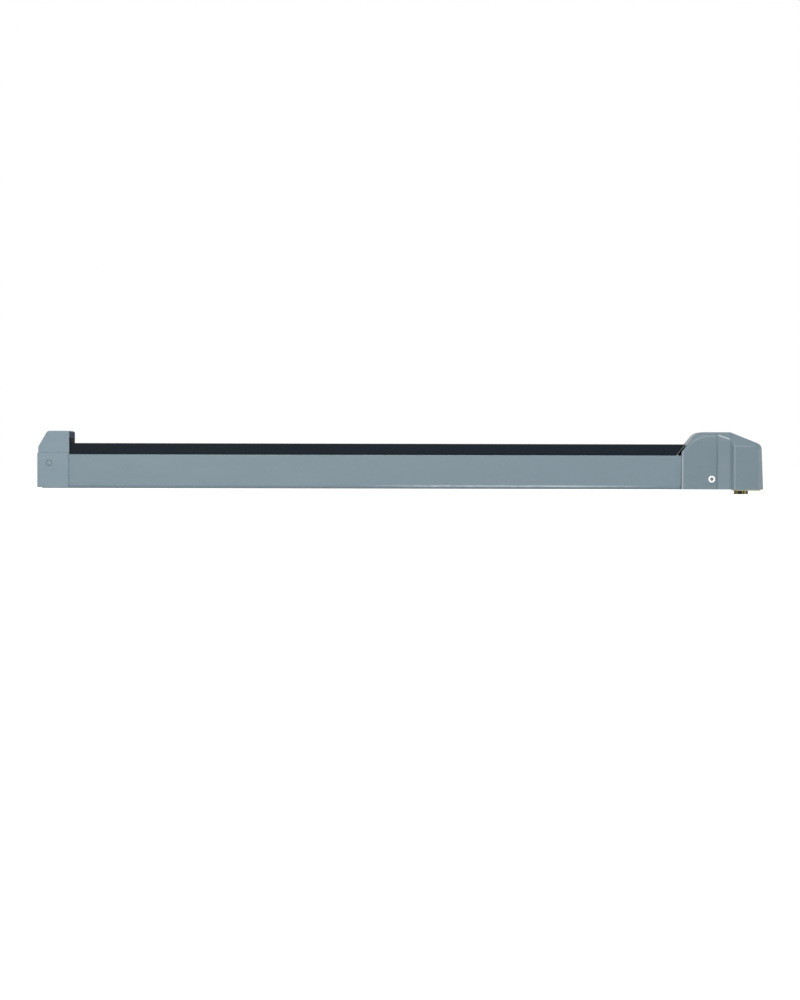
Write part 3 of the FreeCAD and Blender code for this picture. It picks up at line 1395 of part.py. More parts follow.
def make_cover_screws():
    def screw(name, side):
        head = cover_screw_cone(name + "_head", side, "0")
        shank = rod(name + "_shank", "-cover_screw_back",
                    y_pair(side, "cover_half - cover_screw_length", "cover_half - cover_screw"),
                    "cover_screw_z",
                    "cover_screw")
        recess = hexagon(name + "_recess", "-cover_screw_back",
                         y_pair(side, "cover_half - hex_depth", "cover_half + 1"),
                         "cover_screw_z", "hex_recess")
        return cut(name, fuse(name + "_blank", head, shank), recess)
    node("cover_screws", both_sides("cover_screw_pair", screw))


def make_cover_nuts():
    def nut(name, side):
        barrel = rod(name + "_barrel", "-cover_screw_back",
                     y_pair(side, "chassis_cheek_half", "chassis_cheek_half + chassis_wall"),
                     "cover_screw_z",
                     "nut_radius")
        flange = rod(name + "_flange", "-cover_screw_back",
                     y_pair(side, "chassis_cheek_half - nut_flange_wall", "chassis_cheek_half"),
                     "cover_screw_z",
                     "nut_flange")
        thread = rod(name + "_thread", "-cover_screw_back",
                     y_pair(side, "chassis_cheek_half - 3", "cover_half"),
                     "cover_screw_z", "cover_screw + snug")
        return cut(name, fuse(name + "_blank", barrel, flange), thread)
    node("cover_nuts", both_sides("cover_nut_pair", nut))


def make_nose_guide():
    """Black guide in the cover's mouth: two cheeks above the rail and a back wall behind the bar."""
    half = "(cover_inner - seat_gap)"
    back = ("guide_wall_x", "guide_wall_x + guide_wall")
    top = "mouth_top - seat_gap"
    wall = block("guide_back", back, ("-" + half, half), ("guide_low", top))
    pieces = [wall]
    for side in ("-", ""):
        pieces.append(block("guide_cheek", ("guide_left", "guide_left + guide_depth"),
                            y_pair(side, half + " - guide_wall", half), ("rail_depth + seat_gap", top)))
    fill = fuse("guide_fold", *pieces)
    nose = padded_across("guide_nose", [
        ("cover_left - 5", nose_line_z("cover_left - 5", "guide_slope_back")),
        ("cover_left + 20", nose_line_z("cover_left + 20", "guide_slope_back")),
        ("cover_left - 5", nose_line_z("cover_left + 20", "guide_slope_back")),
    ], "block_half")
    node("nose_guide", cut("guide_cut", fill, nose))


def nose_line_z(x, back):
    """The height of the nose's slope at a place, set back along X."""
    return "nose_z + (%s - cover_left - %s) * tan(nose_slope)" % (x, back)


make_rail()
make_end_cap()
make_cap_screws()
make_cap_insert()
make_end_bracket()
make_end_rivets()
make_push_bar()
make_bar_end_plug()
make_bar_tail_plug()
make_set_screws()
make_glides()
make_bracket_screws()
make_pivot_clips()
for side, pivot in (("left", "left_pivot"), ("right", "right_pivot")):
    make_carrier(side, pivot)
    make_crank_bracket(side, pivot)
    make_crank(side, pivot)
    make_crank_pins(side, pivot)
    make_spring(side, pivot)
make_strap("-", "near_pull_strap")
make_strap("", "far_pull_strap")
make_slider()
make_slider_rivets()
make_spring_pins()
make_saddle()
make_chassis()
make_tongue_screws()
make_hub_plate()
make_hub_plate_screws()
make_hub()
make_hub_clip()
make_lever()
make_lever_pin()
make_slider_bridge()
make_bridge_screws()
make_case_cover()
make_cover_screws()
make_cover_nuts()
make_nose_guide()

doc.recompute()
faults = [thing.Label for thing in doc.Objects if "Invalid" in thing.State or "Error" in thing.State]
faults += [piece.Label for piece in nodes if piece.Shape.isNull() or not piece.Shape.isValid()]
if faults:
    raise RuntimeError("failed: " + ", ".join(faults))

print("crank turn", round(value("crank_turn"), 3), "rod travel", round(value("rod_travel"), 3),
      "hub turn", round(value("lever_turn"), 3))
os.makedirs("parts", exist_ok=True)
for piece in nodes:
    piece.Shape.exportStep("parts/%s.step" % piece.Label)
print(len(nodes), "sub-parts")
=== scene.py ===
# %% [markdown]
# A touch bar exit device, dressed for its picture. Its solids come from the CAD model and stay where
# they are. This lesson gives each of them the finish that it has on the real device, winds the two
# springs that stretch, and sets up a white studio with a camera that looks squarely at the device's side.

# %% Load the device and keep its box
import math

import bpy
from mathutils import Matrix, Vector


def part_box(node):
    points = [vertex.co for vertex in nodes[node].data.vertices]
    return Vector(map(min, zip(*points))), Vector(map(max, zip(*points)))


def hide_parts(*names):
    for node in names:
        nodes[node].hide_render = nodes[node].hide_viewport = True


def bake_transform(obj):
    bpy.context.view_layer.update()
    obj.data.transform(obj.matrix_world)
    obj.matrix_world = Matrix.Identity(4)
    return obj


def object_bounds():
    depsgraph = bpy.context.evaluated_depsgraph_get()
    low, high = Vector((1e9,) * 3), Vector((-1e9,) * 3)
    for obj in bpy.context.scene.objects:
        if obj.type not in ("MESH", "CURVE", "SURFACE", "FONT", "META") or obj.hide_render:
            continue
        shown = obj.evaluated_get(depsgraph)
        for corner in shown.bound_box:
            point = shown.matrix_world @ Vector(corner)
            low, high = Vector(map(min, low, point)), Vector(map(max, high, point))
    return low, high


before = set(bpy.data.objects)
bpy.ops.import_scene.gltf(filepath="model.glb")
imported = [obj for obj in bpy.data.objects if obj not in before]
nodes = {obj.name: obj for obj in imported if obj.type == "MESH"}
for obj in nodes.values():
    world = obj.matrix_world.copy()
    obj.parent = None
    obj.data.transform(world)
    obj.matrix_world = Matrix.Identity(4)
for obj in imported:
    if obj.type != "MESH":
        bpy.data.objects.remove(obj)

cad_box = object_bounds()
print("pieces from the CAD model:", len(nodes))

# %% [markdown]
# All these pieces are small, so sizes read more easily in millimetres, and colours more easily as a
# picture shows them, from 0 to 255. The shader wants metres and linear light, so one value and one
# function translate.

# %% Millimetres and shown colours
MM = 0.001


def shown(red, green, blue):
    """The linear colour that a picture shows as these values."""
    def channel(value):
        share = value / 255
        return share / 12.92 if share <= 0.04045 else ((share + 0.055) / 1.055) ** 2.4
    return (channel(red), channel(green), channel(blue), 1.0)


print("mid grey in linear light:", round(shown(128, 128, 128)[0], 3))

# %% [markdown]
# A material here is a Principled shader with layers added one by one. This small class remembers what
# is linked to the shader so far: the tint, and the normal that the reliefs have bent. The texture
# coordinate "Object" runs in the device's own frame, since every piece has its origin there.


# %% A finish in the making
class Finish:
    """A material with its shader and the layers that are linked to it so far."""

    def __init__(self, name, colour, roughness, metallic=0.0, specular=0.5):
        self.material = bpy.data.materials.new(name)
        self.material.use_nodes = True
        self.tree = self.material.node_tree
        self.shader = self.tree.nodes["Principled BSDF"]
        self.shader.inputs["Base Color"].default_value = colour
        self.shader.inputs["Roughness"].default_value = roughness
        self.shader.inputs["Metallic"].default_value = metallic
        self.shader.inputs["Specular IOR Level"].default_value = specular
        self.place = self.tree.nodes.new("ShaderNodeTexCoord").outputs["Object"]
        self.colour = colour
        self.tint = None
        self.normal = None

    def add(self, kind, *inputs, **settings):
        """A new node: its properties from the settings, its sockets in order from the inputs."""
        node = self.tree.nodes.new("ShaderNode" + kind)
        for name, setting in settings.items():
            setattr(node, name, setting)
        for place, source in enumerate(inputs):
            self.feed(node.inputs[place], source)
        return node

    def feed(self, socket, source):
        """Gives a socket a number or colour, or links another node's output to it."""
        if isinstance(source, bpy.types.NodeSocket):
            self.tree.links.new(source, socket)
        elif source is not None:
            socket.default_value = source


# %% [markdown]
# Nothing on a real surface is quite even. Noise gives that: its spots can be round, like the grain of
# a powder coat, or drawn out, like the marks of a mill. A map range then turns the noise's middle
# values into the range that is wanted.


# %% Uneven spots
def spots(finish, size, detail=3.0, twist=0.0):
    """Noise with spots of size = (x, y, z) millimetres."""
    stretch = finish.add("Mapping", finish.place)
    stretch.inputs["Scale"].default_value = [1 / (MM * side) for side in size]
    noise = finish.add("TexNoise", stretch.outputs["Vector"])
    noise.inputs["Scale"].default_value = 1.0
    noise.inputs["Detail"].default_value = detail
    noise.inputs["Distortion"].default_value = twist
    return noise.outputs["Fac"]


def spread(finish, value, low, high, start=0.35, end=0.65):
    """The value with start..end stretched to low..high, and no further."""
    return finish.add("MapRange", value, start, end, low, high).outputs["Result"]


# %% [markdown]
# Three kinds of layer use such values. A tint mixes another colour in, a gloss lets the roughness
# wander, and a relief bends the normal as if the surface had small hills. A relief takes the one below
# it as its start, so fine grain can lie on long waves.


# %% Tint, gloss and relief
def tint(finish, share, colour):
    """Mixes a colour over what is there, as much as share says."""
    mix = finish.add("Mix", share, data_type="RGBA")
    finish.feed(mix.inputs[6], finish.tint or finish.colour)
    finish.feed(mix.inputs[7], colour)
    finish.tint = mix.outputs[2]
    finish.feed(finish.shader.inputs["Base Color"], finish.tint)


def gloss(finish, value, low, high):
    """Roughness that wanders between two values."""
    finish.feed(finish.shader.inputs["Roughness"], spread(finish, value, low, high))


def relief(finish, height, depth_mm):
    """Small hills as high as depth_mm, over those that are there."""
    bump = finish.add("Bump")
    bump.inputs["Distance"].default_value = depth_mm * MM
    finish.feed(bump.inputs["Height"], height)
    finish.feed(bump.inputs["Normal"], finish.normal)
    finish.normal = bump.outputs["Normal"]
    finish.feed(finish.shader.inputs["Normal"], finish.normal)


# %% [markdown]
# A CAD piece keeps its mesh and only gets a material. Its node may come with several material slots,
# so they are cleared first.


# %% Dress a piece
def dress(finish, *names):
    """Gives CAD pieces this finish and no other."""
    for name in names:
        materials = nodes[name].data.materials
        materials.clear()
        materials.append(finish.material)
    print(finish.material.name, "on", ", ".join(names))


def shade_of(colour, share):
    """A colour made darker, or lighter with a share above one."""
    return tuple(min(1.0, share * part) for part in colour[:3]) + (1.0,)


# %% [markdown]
# The rail is an aluminium extrusion, and the cap and the case are die castings. All are sprayed with
# the same silver-grey paint. Sprayed paint has a very shallow skin like an orange's, its tone is a
# little cloudy, and its gloss wanders. Below the paint the extrusion has faint lines along its length,
# from the die that it was pushed through. So one function makes both, with or without the lines. The
# cap's copy of the paint is made lighter and the cover's darker: painted light, for more light on the
# cap's end of the device and less on the cover's end.


# %% Silver-grey sprayed paint
def sprayed(name, colour, die_lines_mm=None):
    """Sprayed paint, over die lines that lie so many millimetres apart."""
    paint = Finish(name, colour, 0.38, specular=0.5)
    cloud = spots(paint, (70.0, 24.0, 24.0))
    fleck = spots(paint, (0.35, 0.35, 0.35), detail=1.0)
    tint(paint, spread(paint, cloud, 0.0, 0.5), shade_of(colour, 0.94))
    tint(paint, spread(paint, fleck, 0.0, 0.35, 0.5, 0.75), shade_of(colour, 1.10))
    gloss(paint, cloud, 0.34, 0.42)
    if die_lines_mm:
        relief(paint, spots(paint, (500.0, die_lines_mm, die_lines_mm), detail=2.0), 0.008)
    relief(paint, spots(paint, (1.3, 1.3, 1.3), detail=2.0), 0.008)
    return paint


SILVER = shown(124, 143, 153)
rail_paint = sprayed("silver_paint_on_rail", SILVER, 0.9)
# painted light: the cover's paint is darker and the cap's lighter, for less and more light at either end
cover_paint = sprayed("silver_paint_on_cover", shade_of(SILVER, 0.92))
dress(sprayed("silver_paint_on_cap", shade_of(SILVER, 1.10)), "end_cap", "end_cap_screws")

# %% [markdown]
# Along the bend above the door the paint mirrors the white ground, a thin bright line, broken up, in
# the middle of the rail's length. This reflection is painted in as a pale tint. Three things multiplied
# together say where it is: how high above the door, how far along the rail, and a noise that breaks the
# line up.


# %% Painted reflection along the rail's lower bend
def product(finish, *values):
    """Several values multiplied together."""
    whole = values[0]
    for value in values[1:]:
        whole = finish.add("Math", whole, value, operation="MULTIPLY").outputs[0]
    return whole


def stretch_of(finish, value, start, end, soft):
    """One from start to end in millimetres, fading out over the soft width on either side."""
    rise = spread(finish, value, 0.0, 1.0, (start - soft) * MM, start * MM)
    fall = spread(finish, value, 1.0, 0.0, end * MM, (end + soft) * MM)
    return product(finish, rise, fall)


PAINTED_HIGHLIGHT = shown(205, 214, 218)
BEND_LOW, BEND_HIGH = 3.0, 3.9
GLINT_FROM, GLINT_TO, GLINT_FADE = -360.0, -190.0, 90.0
along, _, above = rail_paint.add("SeparateXYZ", rail_paint.place).outputs
broken = spots(rail_paint, (9.0, 0.8, 0.8), detail=4.0)
bend_reflection = product(rail_paint, stretch_of(rail_paint, above, BEND_LOW, BEND_HIGH, 0.5),
               stretch_of(rail_paint, along, GLINT_FROM, GLINT_TO, GLINT_FADE),
               spread(rail_paint, broken, 0.25, 1.0, 0.35, 0.55))
# painted reflection: a pale, broken line where the bend mirrors the white ground
tint(rail_paint, bend_reflection, PAINTED_HIGHLIGHT)
dress(rail_paint, "rail")

# %% [markdown]
# The case gets light and shade painted into its paint. Pale lines are painted highlights: along the
# upright edge of its mouth, along the step behind its waist and on the hip that falls over the waist.
# Dark lines are painted shade: in the gap in front of the mouth and in the two creases beside the waist.
# In a picture such lines can as well be glints and shade, so as wear in the paint they are a guess, and
# they stay in place under any light. Gap, creases and upright edges are bands along the device, given by
# where they start and end in millimetres.

# %% Painted highlights on edges and painted shade in creases of the case
PAINTED_SHADE = shown(58, 72, 82)
MOUTH_GAP, WAIST_CREASE, STEP_CREASE = (-73.6, -72.7), (-31.6, -30.8), (-15.2, -12.6)
MOUTH_EDGE, STEP_EDGE = (-71.9, -70.7), (-11.6, -10.4)
EDGES_END, EDGES_GONE = 50.0, 53.0
along, _, above = cover_paint.add("SeparateXYZ", cover_paint.place).outputs
# painted shade: dark bands in the gap before the mouth and in the two creases
for (start, end), share in ((MOUTH_GAP, 0.6), (WAIST_CREASE, 0.22), (STEP_CREASE, 0.12)):
    crease = stretch_of(cover_paint, along, start, end, 0.5)
    tint(cover_paint, product(cover_paint, crease, share), PAINTED_SHADE)
below_hip = spread(cover_paint, above, 1.0, 0.0, EDGES_END * MM, EDGES_GONE * MM)
# painted highlights: pale bands on the mouth's upright edge and on the step
for (start, end), share in ((MOUTH_EDGE, 0.42), (STEP_EDGE, 0.18)):
    edge = stretch_of(cover_paint, along, start, end, 0.4)
    tint(cover_paint, product(cover_paint, edge, below_hip, share), PAINTED_HIGHLIGHT)
print("three shaded bands and two lightened ones on the case")

# %% [markdown]
# The hip falls at a slant, so no band along the device fits it. Instead a plane is laid through it,
# across the device, and the distance past that plane is measured, square to it. Only what lies within a
# fraction of a millimetre of the plane gets the painted highlight.


# %% The painted highlight on the hip
def past_plane(finish, x_mm, z_mm, lean):
    """Distance past a plane through (x, z), whose normal leans from upright toward +X by this angle."""
    offset = finish.add("VectorMath", finish.place, (x_mm * MM, 0.0, z_mm * MM), operation="SUBTRACT")
    normal = (math.sin(lean), 0.0, math.cos(lean))
    return finish.add("VectorMath", offset.outputs[0], normal, operation="DOT_PRODUCT").outputs["Value"]


HIP_X, HIP_Z, HIP_FALL = -29.2, 63.7, math.radians(19.4)
above_hip = past_plane(cover_paint, HIP_X, HIP_Z, HIP_FALL)
hip = product(cover_paint, stretch_of(cover_paint, above_hip, -0.3, 0.3, 0.4),
              stretch_of(cover_paint, along, -28.5, -17.5, 1.5), 0.7)
# painted highlight: a pale line along the hip's rounded edge
tint(cover_paint, hip, shown(215, 222, 226))
dress(cover_paint, "case_cover")

# %% [markdown]
# The push bar is a second extrusion, powder coated in a charcoal that is almost black. Its coat is a
# fine sand: tiny grains that scatter the light. A dark surface shows mostly what it mirrors, so the
# base colour is close to black and the mirror part is kept low.

# %% Charcoal powder coat
CHARCOAL = shown(19, 28, 36)
charcoal = Finish("charcoal_powder_coat", CHARCOAL, 0.5, specular=0.1)
sand = spots(charcoal, (0.3, 0.3, 0.3), detail=2.0)
polish = spots(charcoal, (160.0, 30.0, 30.0), detail=2.0)
tint(charcoal, spread(charcoal, sand, 0.0, 0.6, 0.45, 0.7), shade_of(CHARCOAL, 1.5))
tint(charcoal, spread(charcoal, polish, 0.0, 0.4), shade_of(CHARCOAL, 0.75))
gloss(charcoal, polish, 0.44, 0.54)
relief(charcoal, sand, 0.008)

# %% [markdown]
# The bar's end is sawn at a slant after coating, so a thin line of bare aluminium runs along the cut.
# The same measure as for the hip finds it: the distance from the plane of the cut.

# %% Bare metal along the sawn end
TIP_X, TIP_Z, SLANT = -67.4, 52.9, math.radians(52)
inward = past_plane(charcoal, TIP_X, TIP_Z, -SLANT)
bare = spread(charcoal, inward, 1.0, 0.0, 0.55 * MM, 0.75 * MM)
tint(charcoal, bare, shown(128, 132, 132))
dress(charcoal, "push_bar")

# %% [markdown]
# Four black mouldings close or guide the bar: the insert in the cap's mouth, the liner in the nose and
# the plugs in the bar's ends. Moulds for such parts are spark eroded, which leaves an even matt texture
# that mirrors little, even where it's seen along the surface.

# %% Black moulded plastic
BLACK = shown(24, 30, 35)


def moulded(name):
    """Black plastic with the even matt texture of a spark-eroded mould."""
    black = Finish(name, BLACK, 0.7, specular=0.12)
    erosion = spots(black, (0.2, 0.2, 0.2), detail=3.0)
    flow = spots(black, (14.0, 14.0, 14.0), detail=2.0)
    tint(black, spread(black, flow, 0.0, 0.6), shade_of(BLACK, 1.35))
    gloss(black, erosion, 0.62, 0.78)
    relief(black, erosion, 0.02)
    return black


dress(moulded("black_moulding"), "nose_guide", "bar_end_plug", "bar_tail_plug")

# %% [markdown]
# The insert in the cap gets the moulding's own layers once more. Its upper half is painted a lighter
# grey, which sets in above a height and is cloudy itself: painted light, as if lit from above, while the
# lower half next to the bar stays black as in shade. It also mirrors less.

# %% The insert's upper half, painted lighter as if lit from above
LIT_FROM, LIT_FULLY = 58.7, 59.4
insert_black = moulded("moulding_lit_from_above")
height = insert_black.add("SeparateXYZ", insert_black.place).outputs["Z"]
lit_upper_share = product(insert_black, spread(insert_black, height, 0.0, 1.0, LIT_FROM * MM, LIT_FULLY * MM),
               spread(insert_black, spots(insert_black, (5.0, 5.0, 5.0)), 0.7, 1.0))
# painted light: a lighter grey over the upper half, the lower half left dark as in shade
tint(insert_black, lit_upper_share, shown(71, 88, 100))
insert_black.shader.inputs["Specular IOR Level"].default_value = 0.04
dress(insert_black, "end_cap_insert")

# %% [markdown]
# Inside, the brackets, straps and chassis are pressed from zinc-plated sheet. Plated sheet keeps the
# rolling marks of the mill, so its roughness is drawn out in one direction, with a cloudy bloom over it.
# The plate under the hub is yellow passivated, a thin film that is never an even yellow.


# %% Plated sheet, clear and yellow
def plated(name, colour, bloom, grain_mm, roughness=0.34):
    """Bare or plated metal with a cloudy bloom, and a grain of (x, y, z) millimetres."""
    metal = Finish(name, colour, roughness, metallic=1.0)
    mill = spots(metal, grain_mm)
    tint(metal, spread(metal, spots(metal, (9.0, 9.0, 9.0), detail=4.0, twist=0.6), 0.0, 0.75), bloom)
    gloss(metal, mill, roughness - 0.08, roughness + 0.12)
    relief(metal, mill, 0.006)
    return metal


clear_zinc = plated("clear_zinc", (0.56, 0.58, 0.60, 1.0), (0.44, 0.46, 0.49, 1.0), (40.0, 0.3, 0.3))
yellow_zinc = plated("yellow_zinc", (0.42, 0.44, 0.30, 1.0), (0.28, 0.31, 0.24, 1.0), (0.3, 30.0, 0.3), 0.4)
dress(clear_zinc, "end_bracket", "end_bracket_rivets", "left_crank_bracket", "right_crank_bracket",
      "near_pull_strap", "far_pull_strap", "chassis", "slider_bridge", "cover_nuts")
dress(yellow_zinc, "hub_plate")

# %% [markdown]
# Screws, pins and rivets are turned or headed from bright wire. Clips and grub screws are blackened,
# and spring wire is drawn and oiled. They are the same kind of surface as plated sheet with another
# colour and a grain as fine as a lathe's.

# %% Bright pins, blackened clips and spring wire
bright = plated("bright_pin", (0.66, 0.67, 0.67, 1.0), (0.56, 0.57, 0.58, 1.0), (0.4, 0.4, 0.12), 0.26)
blackened = plated("blackened_steel", (0.10, 0.10, 0.105, 1.0), (0.06, 0.06, 0.065, 1.0),
                   (0.5, 0.5, 0.5), 0.42)
spring_wire = plated("spring_wire", (0.36, 0.35, 0.34, 1.0), (0.26, 0.25, 0.25, 1.0), (0.5, 0.5, 0.5), 0.36)
dress(bright, "crank_bracket_screws", "left_drive_pin", "right_drive_pin", "left_rod_pin", "right_rod_pin",
      "left_pivot_pin", "right_pivot_pin", "slider_rivets", "spring_pins", "tongue_screws",
      "hub_plate_screws", "lever_pin", "bridge_screws")
dress(blackened, "pivot_clips", "hub_clip", "carrier_set_screws")

# %% [markdown]
# The two cover screws are the brightest thing on the case: white zinc, flat and polished, round a
# socket. The socket is a hollow in the CAD model, and its shade is painted: a darker tint near the
# screws' common axis, which runs across the case.

# %% Cover screws with a dark socket
SCREW_X, SCREW_Z, SOCKET_RADIUS = -37.1, 12.2, 2.15
cover_screw = plated("bright_cover_screw", (0.84, 0.85, 0.85, 1.0), (0.76, 0.77, 0.78, 1.0),
                     (0.3, 0.3, 0.3), 0.5)
from_axis = cover_screw.add("VectorMath", cover_screw.place, (-SCREW_X * MM, 0.0, -SCREW_Z * MM))
flat = cover_screw.add("VectorMath", from_axis.outputs[0], (1.0, 0.0, 1.0), operation="MULTIPLY")
radius = cover_screw.add("VectorMath", flat.outputs[0], operation="LENGTH").outputs["Value"]
# painted shade: the socket's hollow is darkened near the screws' axis
socket = spread(cover_screw, radius, 1.0, 0.0, SOCKET_RADIUS * MM, (SOCKET_RADIUS + 0.15) * MM)
tint(cover_screw, socket, shown(126, 134, 130))
dress(cover_screw, "cover_screws")

# %% [markdown]
# The carriers and the slider are zinc castings, left as they come from the die: duller than sheet, with
# a skin of shallow flow marks. The cranks and the hub's lever are pressed from metal powder and
# steeped in oil, which makes them dark and finely porous.

# %% Castings and sintered levers
cast = plated("bare_casting", (0.46, 0.47, 0.49, 1.0), (0.36, 0.37, 0.39, 1.0), (2.2, 2.2, 2.2), 0.44)
relief(cast, spots(cast, (0.5, 0.5, 0.5), detail=4.0), 0.03)
sintered = plated("sintered_steel", (0.24, 0.23, 0.225, 1.0), (0.16, 0.155, 0.15, 1.0),
                  (0.6, 0.6, 0.6), 0.5)
relief(sintered, spots(sintered, (0.3, 0.3, 0.3)), 0.03)
dress(cast, "left_carrier", "right_carrier", "drive_slider")
dress(sintered, "left_crank", "right_crank", "hub_lever")

# %% [markdown]
# The hub is turned from brass bar, and on the real device years have darkened it to a brownish olive.
# Below the case only its spigot shows, with upright streaks in its gloss and relief. Their dark and light
# tints are painted reflections: the bands that a polished round spigot mirrors. A noise drawn out along
# the vertical gives the streaks, and a softer one the tarnish.

# %% Tarnished brass
BRASS = shown(78, 72, 46)
brass = Finish("tarnished_brass", BRASS, 0.32, metallic=1.0)
streaks = spots(brass, (1.6, 1.6, 60.0), detail=4.0)
tarnish = spots(brass, (6.0, 6.0, 4.0), detail=4.0, twist=0.4)
tint(brass, spread(brass, tarnish, 0.0, 0.6), shade_of(BRASS, 0.7))
# painted reflections: dark and light upright streaks, as a polished cylinder mirrors them
tint(brass, spread(brass, streaks, 0.0, 0.9, 0.46, 0.53), shown(28, 28, 15))
tint(brass, spread(brass, streaks, 0.9, 0.0, 0.38, 0.44), shown(148, 132, 98))
gloss(brass, streaks, 0.24, 0.44)
relief(brass, streaks, 0.012)
dress(brass, "spindle_hub")

# %% [markdown]
# Two kinds of wear part are nylon in its natural colour: the buttons that keep the bar's paint off the
# rail, and the saddle that carries the long pull rod. Light goes a little way into nylon, which the
# subsurface setting gives.

# %% Natural nylon
NYLON = shown(216, 212, 198)
nylon = Finish("natural_nylon", NYLON, 0.45)
nylon.shader.inputs["Subsurface Weight"].default_value = 0.15
nylon.shader.inputs["Subsurface Radius"].default_value = (0.0012, 0.0010, 0.0008)
haze = spots(nylon, (3.0, 3.0, 3.0))
tint(nylon, spread(nylon, haze, 0.0, 0.5), shade_of(NYLON, 0.88))
gloss(nylon, haze, 0.38, 0.52)
relief(nylon, spots(nylon, (0.4, 0.4, 0.4), detail=2.0), 0.012)
dress(nylon, "bar_glides", "rod_saddle")

# %% [markdown]
# The two return springs stretch when the bar is pressed, and a stiff solid can't follow that. Each is
# wound here again as a tube along a line: a half loop round the pin between the straps, the turns, and
# a half loop through the bracket's tab. The line is worked out from the spring's place in the CAD model.

# %% The line that a spring's wire follows
TURNS = 19
WIRE = 0.5 * MM
KNEE = 2.0 * MM


def half_loop(middle, radius, first, last, steps=12):
    """Points round a hook, between two angles in degrees."""
    angles = [math.radians(first + (last - first) * step / steps) for step in range(steps + 1)]
    return [middle + Vector((radius * math.cos(angle), 0, radius * math.sin(angle))) for angle in angles]


def spring_line(left, right, radius, steps=24 * TURNS):
    """Points along the wire, hook to hook; left and right are the hooks' outermost points."""
    start = left + Vector((radius + KNEE, 0, 0))
    end = right - Vector((radius + KNEE, 0, 0))
    turns = []
    for step in range(steps + 1):
        angle = 2 * math.pi * TURNS * step / steps
        ease = min(1.0, step / 12, (steps - step) / 12)
        turn = Vector((0, ease * radius * math.sin(angle), radius * math.cos(angle)))
        turns.append(start.lerp(end, step / steps) + turn)
    inward = Vector((radius, 0, 0))
    return half_loop(left + inward, radius, 270, 90) + turns + half_loop(right - inward, radius, 90, -90)


# %% [markdown]
# A curve with a round bevel is the quickest tube, and it is turned into a mesh. Each new spring stands
# for its CAD solid, so that one is hidden.


# %% Wind both springs
def tube(name, line, radius):
    """A round tube along a line of points, as a mesh object."""
    curve = bpy.data.curves.new(name + "_line", "CURVE")
    curve.dimensions = "3D"
    curve.bevel_depth = radius
    curve.bevel_resolution = 4
    curve.use_fill_caps = True
    spline = curve.splines.new("POLY")
    spline.points.add(len(line) - 1)
    for point, place in zip(spline.points, line):
        point.co = (*place, 1.0)
    holder = bpy.data.objects.new(name + "_holder", curve)
    bpy.context.scene.collection.objects.link(holder)
    shape = holder.evaluated_get(bpy.context.evaluated_depsgraph_get())
    mesh = bpy.data.meshes.new_from_object(shape)
    bpy.data.objects.remove(holder)
    mesh.shade_smooth()
    piece = bpy.data.objects.new(name, mesh)
    bpy.context.scene.collection.objects.link(piece)
    return piece


def wind(name, node):
    """Winds a spring in the place of a CAD node."""
    low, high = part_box(node)
    middle = (low + high) / 2
    radius = (high.z - low.z) / 2 - WIRE
    left = Vector((low.x + WIRE, 0, middle.z))
    right = Vector((high.x - WIRE, 0, middle.z))
    spring = tube(name, spring_line(left, right, radius), WIRE)
    spring.data.materials.clear()
    spring.data.materials.append(spring_wire.material)
    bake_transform(spring)
    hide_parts(node)
    print(name, TURNS, "turns of", round(radius / MM, 2), "mm radius,",
          round((high.x - low.x) / MM, 1), "mm long")


wind("left_spring", "left_return_spring")
wind("right_spring", "right_return_spring")

# %% [markdown]
# The camera stands 3.3 m away with a long lens, level with the device, which keeps upright lines
# upright. The device fills the width of the picture and lies a little above its middle, so the lens is
# shifted by a hair. A roll of a little over a tenth of a degree gives the lean that the device has in
# the picture.

# %% The camera
STAND_OFF, EYE_X, EYE_Z = 3.300, -0.40265, 0.0342
LENS, SHIFT_UP, ROLL = 100.58, -0.04035, math.radians(-0.13)
camera_data = bpy.data.cameras.new("camera")
camera_data.lens = LENS
camera_data.sensor_width = 36.0
camera_data.shift_y = SHIFT_UP
camera_data.clip_end = 100.0
camera = bpy.data.objects.new("camera", camera_data)
camera.location = (EYE_X, -STAND_OFF, EYE_Z)
camera.rotation_euler = (math.pi / 2, ROLL, 0.0)
bpy.context.scene.collection.objects.link(camera)
bpy.context.scene.camera = camera
bpy.context.scene.view_settings.view_transform = "Standard"
print("camera at", STAND_OFF, "m, lens", LENS, "mm")

# %% [markdown]
# The ground is white paper that keeps the device's soft shadow. Light Path tells which kind of ray is
# asking: the camera, a mirroring surface and glass get an extra glow from the paper, and from the sky
# full white, while the light that falls on the device stays at a plain level. So the background is white
# without more light on the paint.


# %% White for the rays that see the background
def background_rays(tree):
    """One for rays from the camera, from gloss and through glass, nought for all others."""
    path = tree.nodes.new("ShaderNodeLightPath")
    seen = path.outputs["Is Camera Ray"]
    for name in ("Is Glossy Ray", "Is Transmission Ray"):
        either = tree.nodes.new("ShaderNodeMath")
        either.operation = "MAXIMUM"
        tree.links.new(seen, either.inputs[0])
        tree.links.new(path.outputs[name], either.inputs[1])
        seen = either.outputs[0]
    return seen


# %% The sky
AMBIENT = 0.20
world = bpy.data.worlds.new("studio")
world.use_nodes = True
bpy.context.scene.world = world
sky = world.node_tree
level = sky.nodes.new("ShaderNodeMapRange")
level.inputs["To Min"].default_value = AMBIENT
sky.links.new(background_rays(sky), level.inputs["Value"])
sky.nodes["Background"].inputs["Color"].default_value = (1.0, 1.0, 1.0, 1.0)
sky.links.new(level.outputs["Result"], sky.nodes["Background"].inputs["Strength"])
print("light from all sides:", AMBIENT)

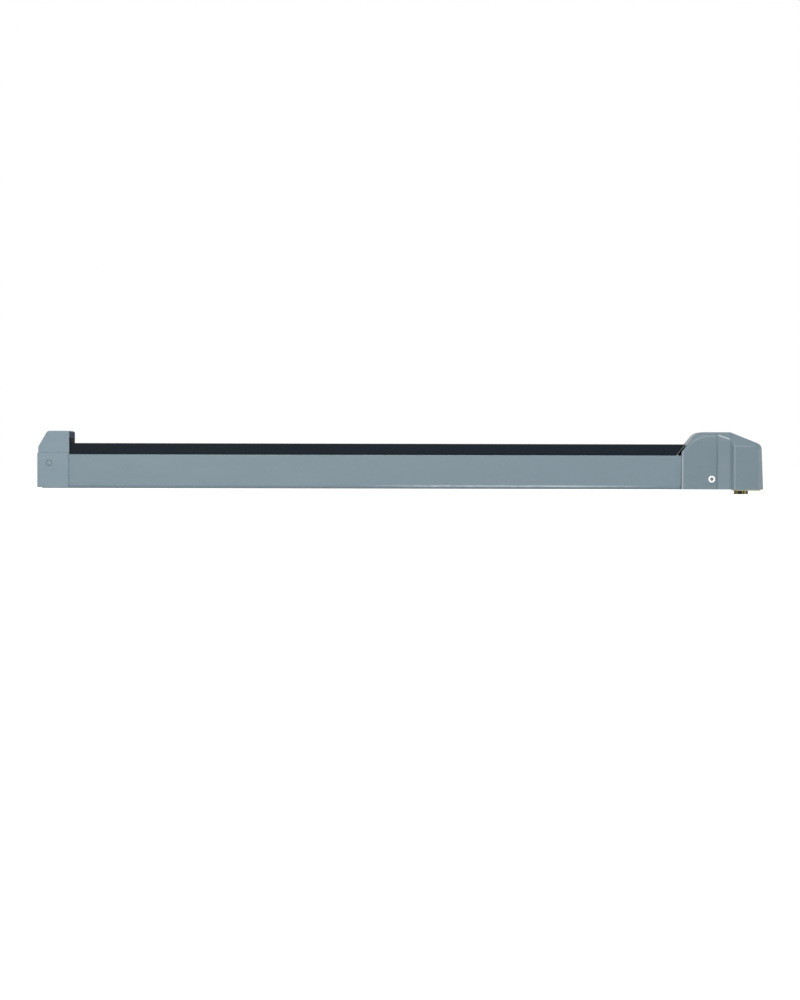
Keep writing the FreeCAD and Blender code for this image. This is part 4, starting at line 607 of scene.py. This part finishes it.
# %% The paper floor
REACH = 9.0
FLOOR_GAP = 0.4 * MM
PAPER_WHITE = 0.86
PAPER_GLOW = 0.86
floor_z = cad_box[0].z - FLOOR_GAP
corners = [(-REACH, -REACH, floor_z), (REACH, -REACH, floor_z),
           (REACH, REACH, floor_z), (-REACH, REACH, floor_z)]
floor_mesh = bpy.data.meshes.new("paper_floor")
floor_mesh.from_pydata(corners, [], [(0, 1, 2, 3)])
floor = bpy.data.objects.new("paper_floor", floor_mesh)
bpy.context.scene.collection.objects.link(floor)
paper = bpy.data.materials.new("white_paper")
paper.use_nodes = True
sheet = paper.node_tree.nodes["Principled BSDF"]
sheet.inputs["Base Color"].default_value = (PAPER_WHITE, PAPER_WHITE, PAPER_WHITE, 1.0)
sheet.inputs["Roughness"].default_value = 1.0
sheet.inputs["Specular IOR Level"].default_value = 0.0
sheet.inputs["Emission Color"].default_value = (1.0, 1.0, 1.0, 1.0)
glow = paper.node_tree.nodes.new("ShaderNodeMath")
glow.operation = "MULTIPLY"
glow.inputs[1].default_value = PAPER_GLOW
paper.node_tree.links.new(background_rays(paper.node_tree), glow.inputs[0])
paper.node_tree.links.new(glow.outputs[0], sheet.inputs["Emission Strength"])
floor_mesh.materials.append(paper)
print("floor", round(FLOOR_GAP / MM, 1), "mm below the device")

# %% [markdown]
# The light is that of a catalogue picture: one wide soft lamp over the camera, a smaller one to the left
# of it, and one far out on either side. The small ones hardly show on the flat sides, but each rounded
# edge turns past one of them and gets a thin light line, which is how the eye finds the shape of a plain
# grey casting.


# %% Soft lamps
def soft_lamp(name, side_degrees, up_degrees, distance, size, power):
    """A rectangular lamp in front of the device, turned to its middle: metres and watts."""
    middle = (cad_box[0] + cad_box[1]) / 2
    side, up = math.radians(side_degrees), math.radians(up_degrees)
    way = Vector((math.sin(side) * math.cos(up), -math.cos(side) * math.cos(up), math.sin(up)))
    data = bpy.data.lights.new(name, "AREA")
    data.shape = "RECTANGLE"
    data.size, data.size_y = size
    data.energy = power
    lamp = bpy.data.objects.new(name, data)
    lamp.location = middle + distance * way
    lamp.rotation_euler = (-way).to_track_quat("-Z", "Y").to_euler()
    bpy.context.scene.collection.objects.link(lamp)
    print(name, power, "W")


soft_lamp("wide_lamp", 1, 36, 3.0, (1.4, 0.7), 49.0)
soft_lamp("left_lamp", -12, 4, 3.0, (0.6, 0.8), 7.0)
soft_lamp("left_edge_lamp", -50, 4, 3.0, (0.4, 0.8), 8.0)
soft_lamp("right_edge_lamp", 77, 4, 3.4, (0.4, 0.8), 16.0)
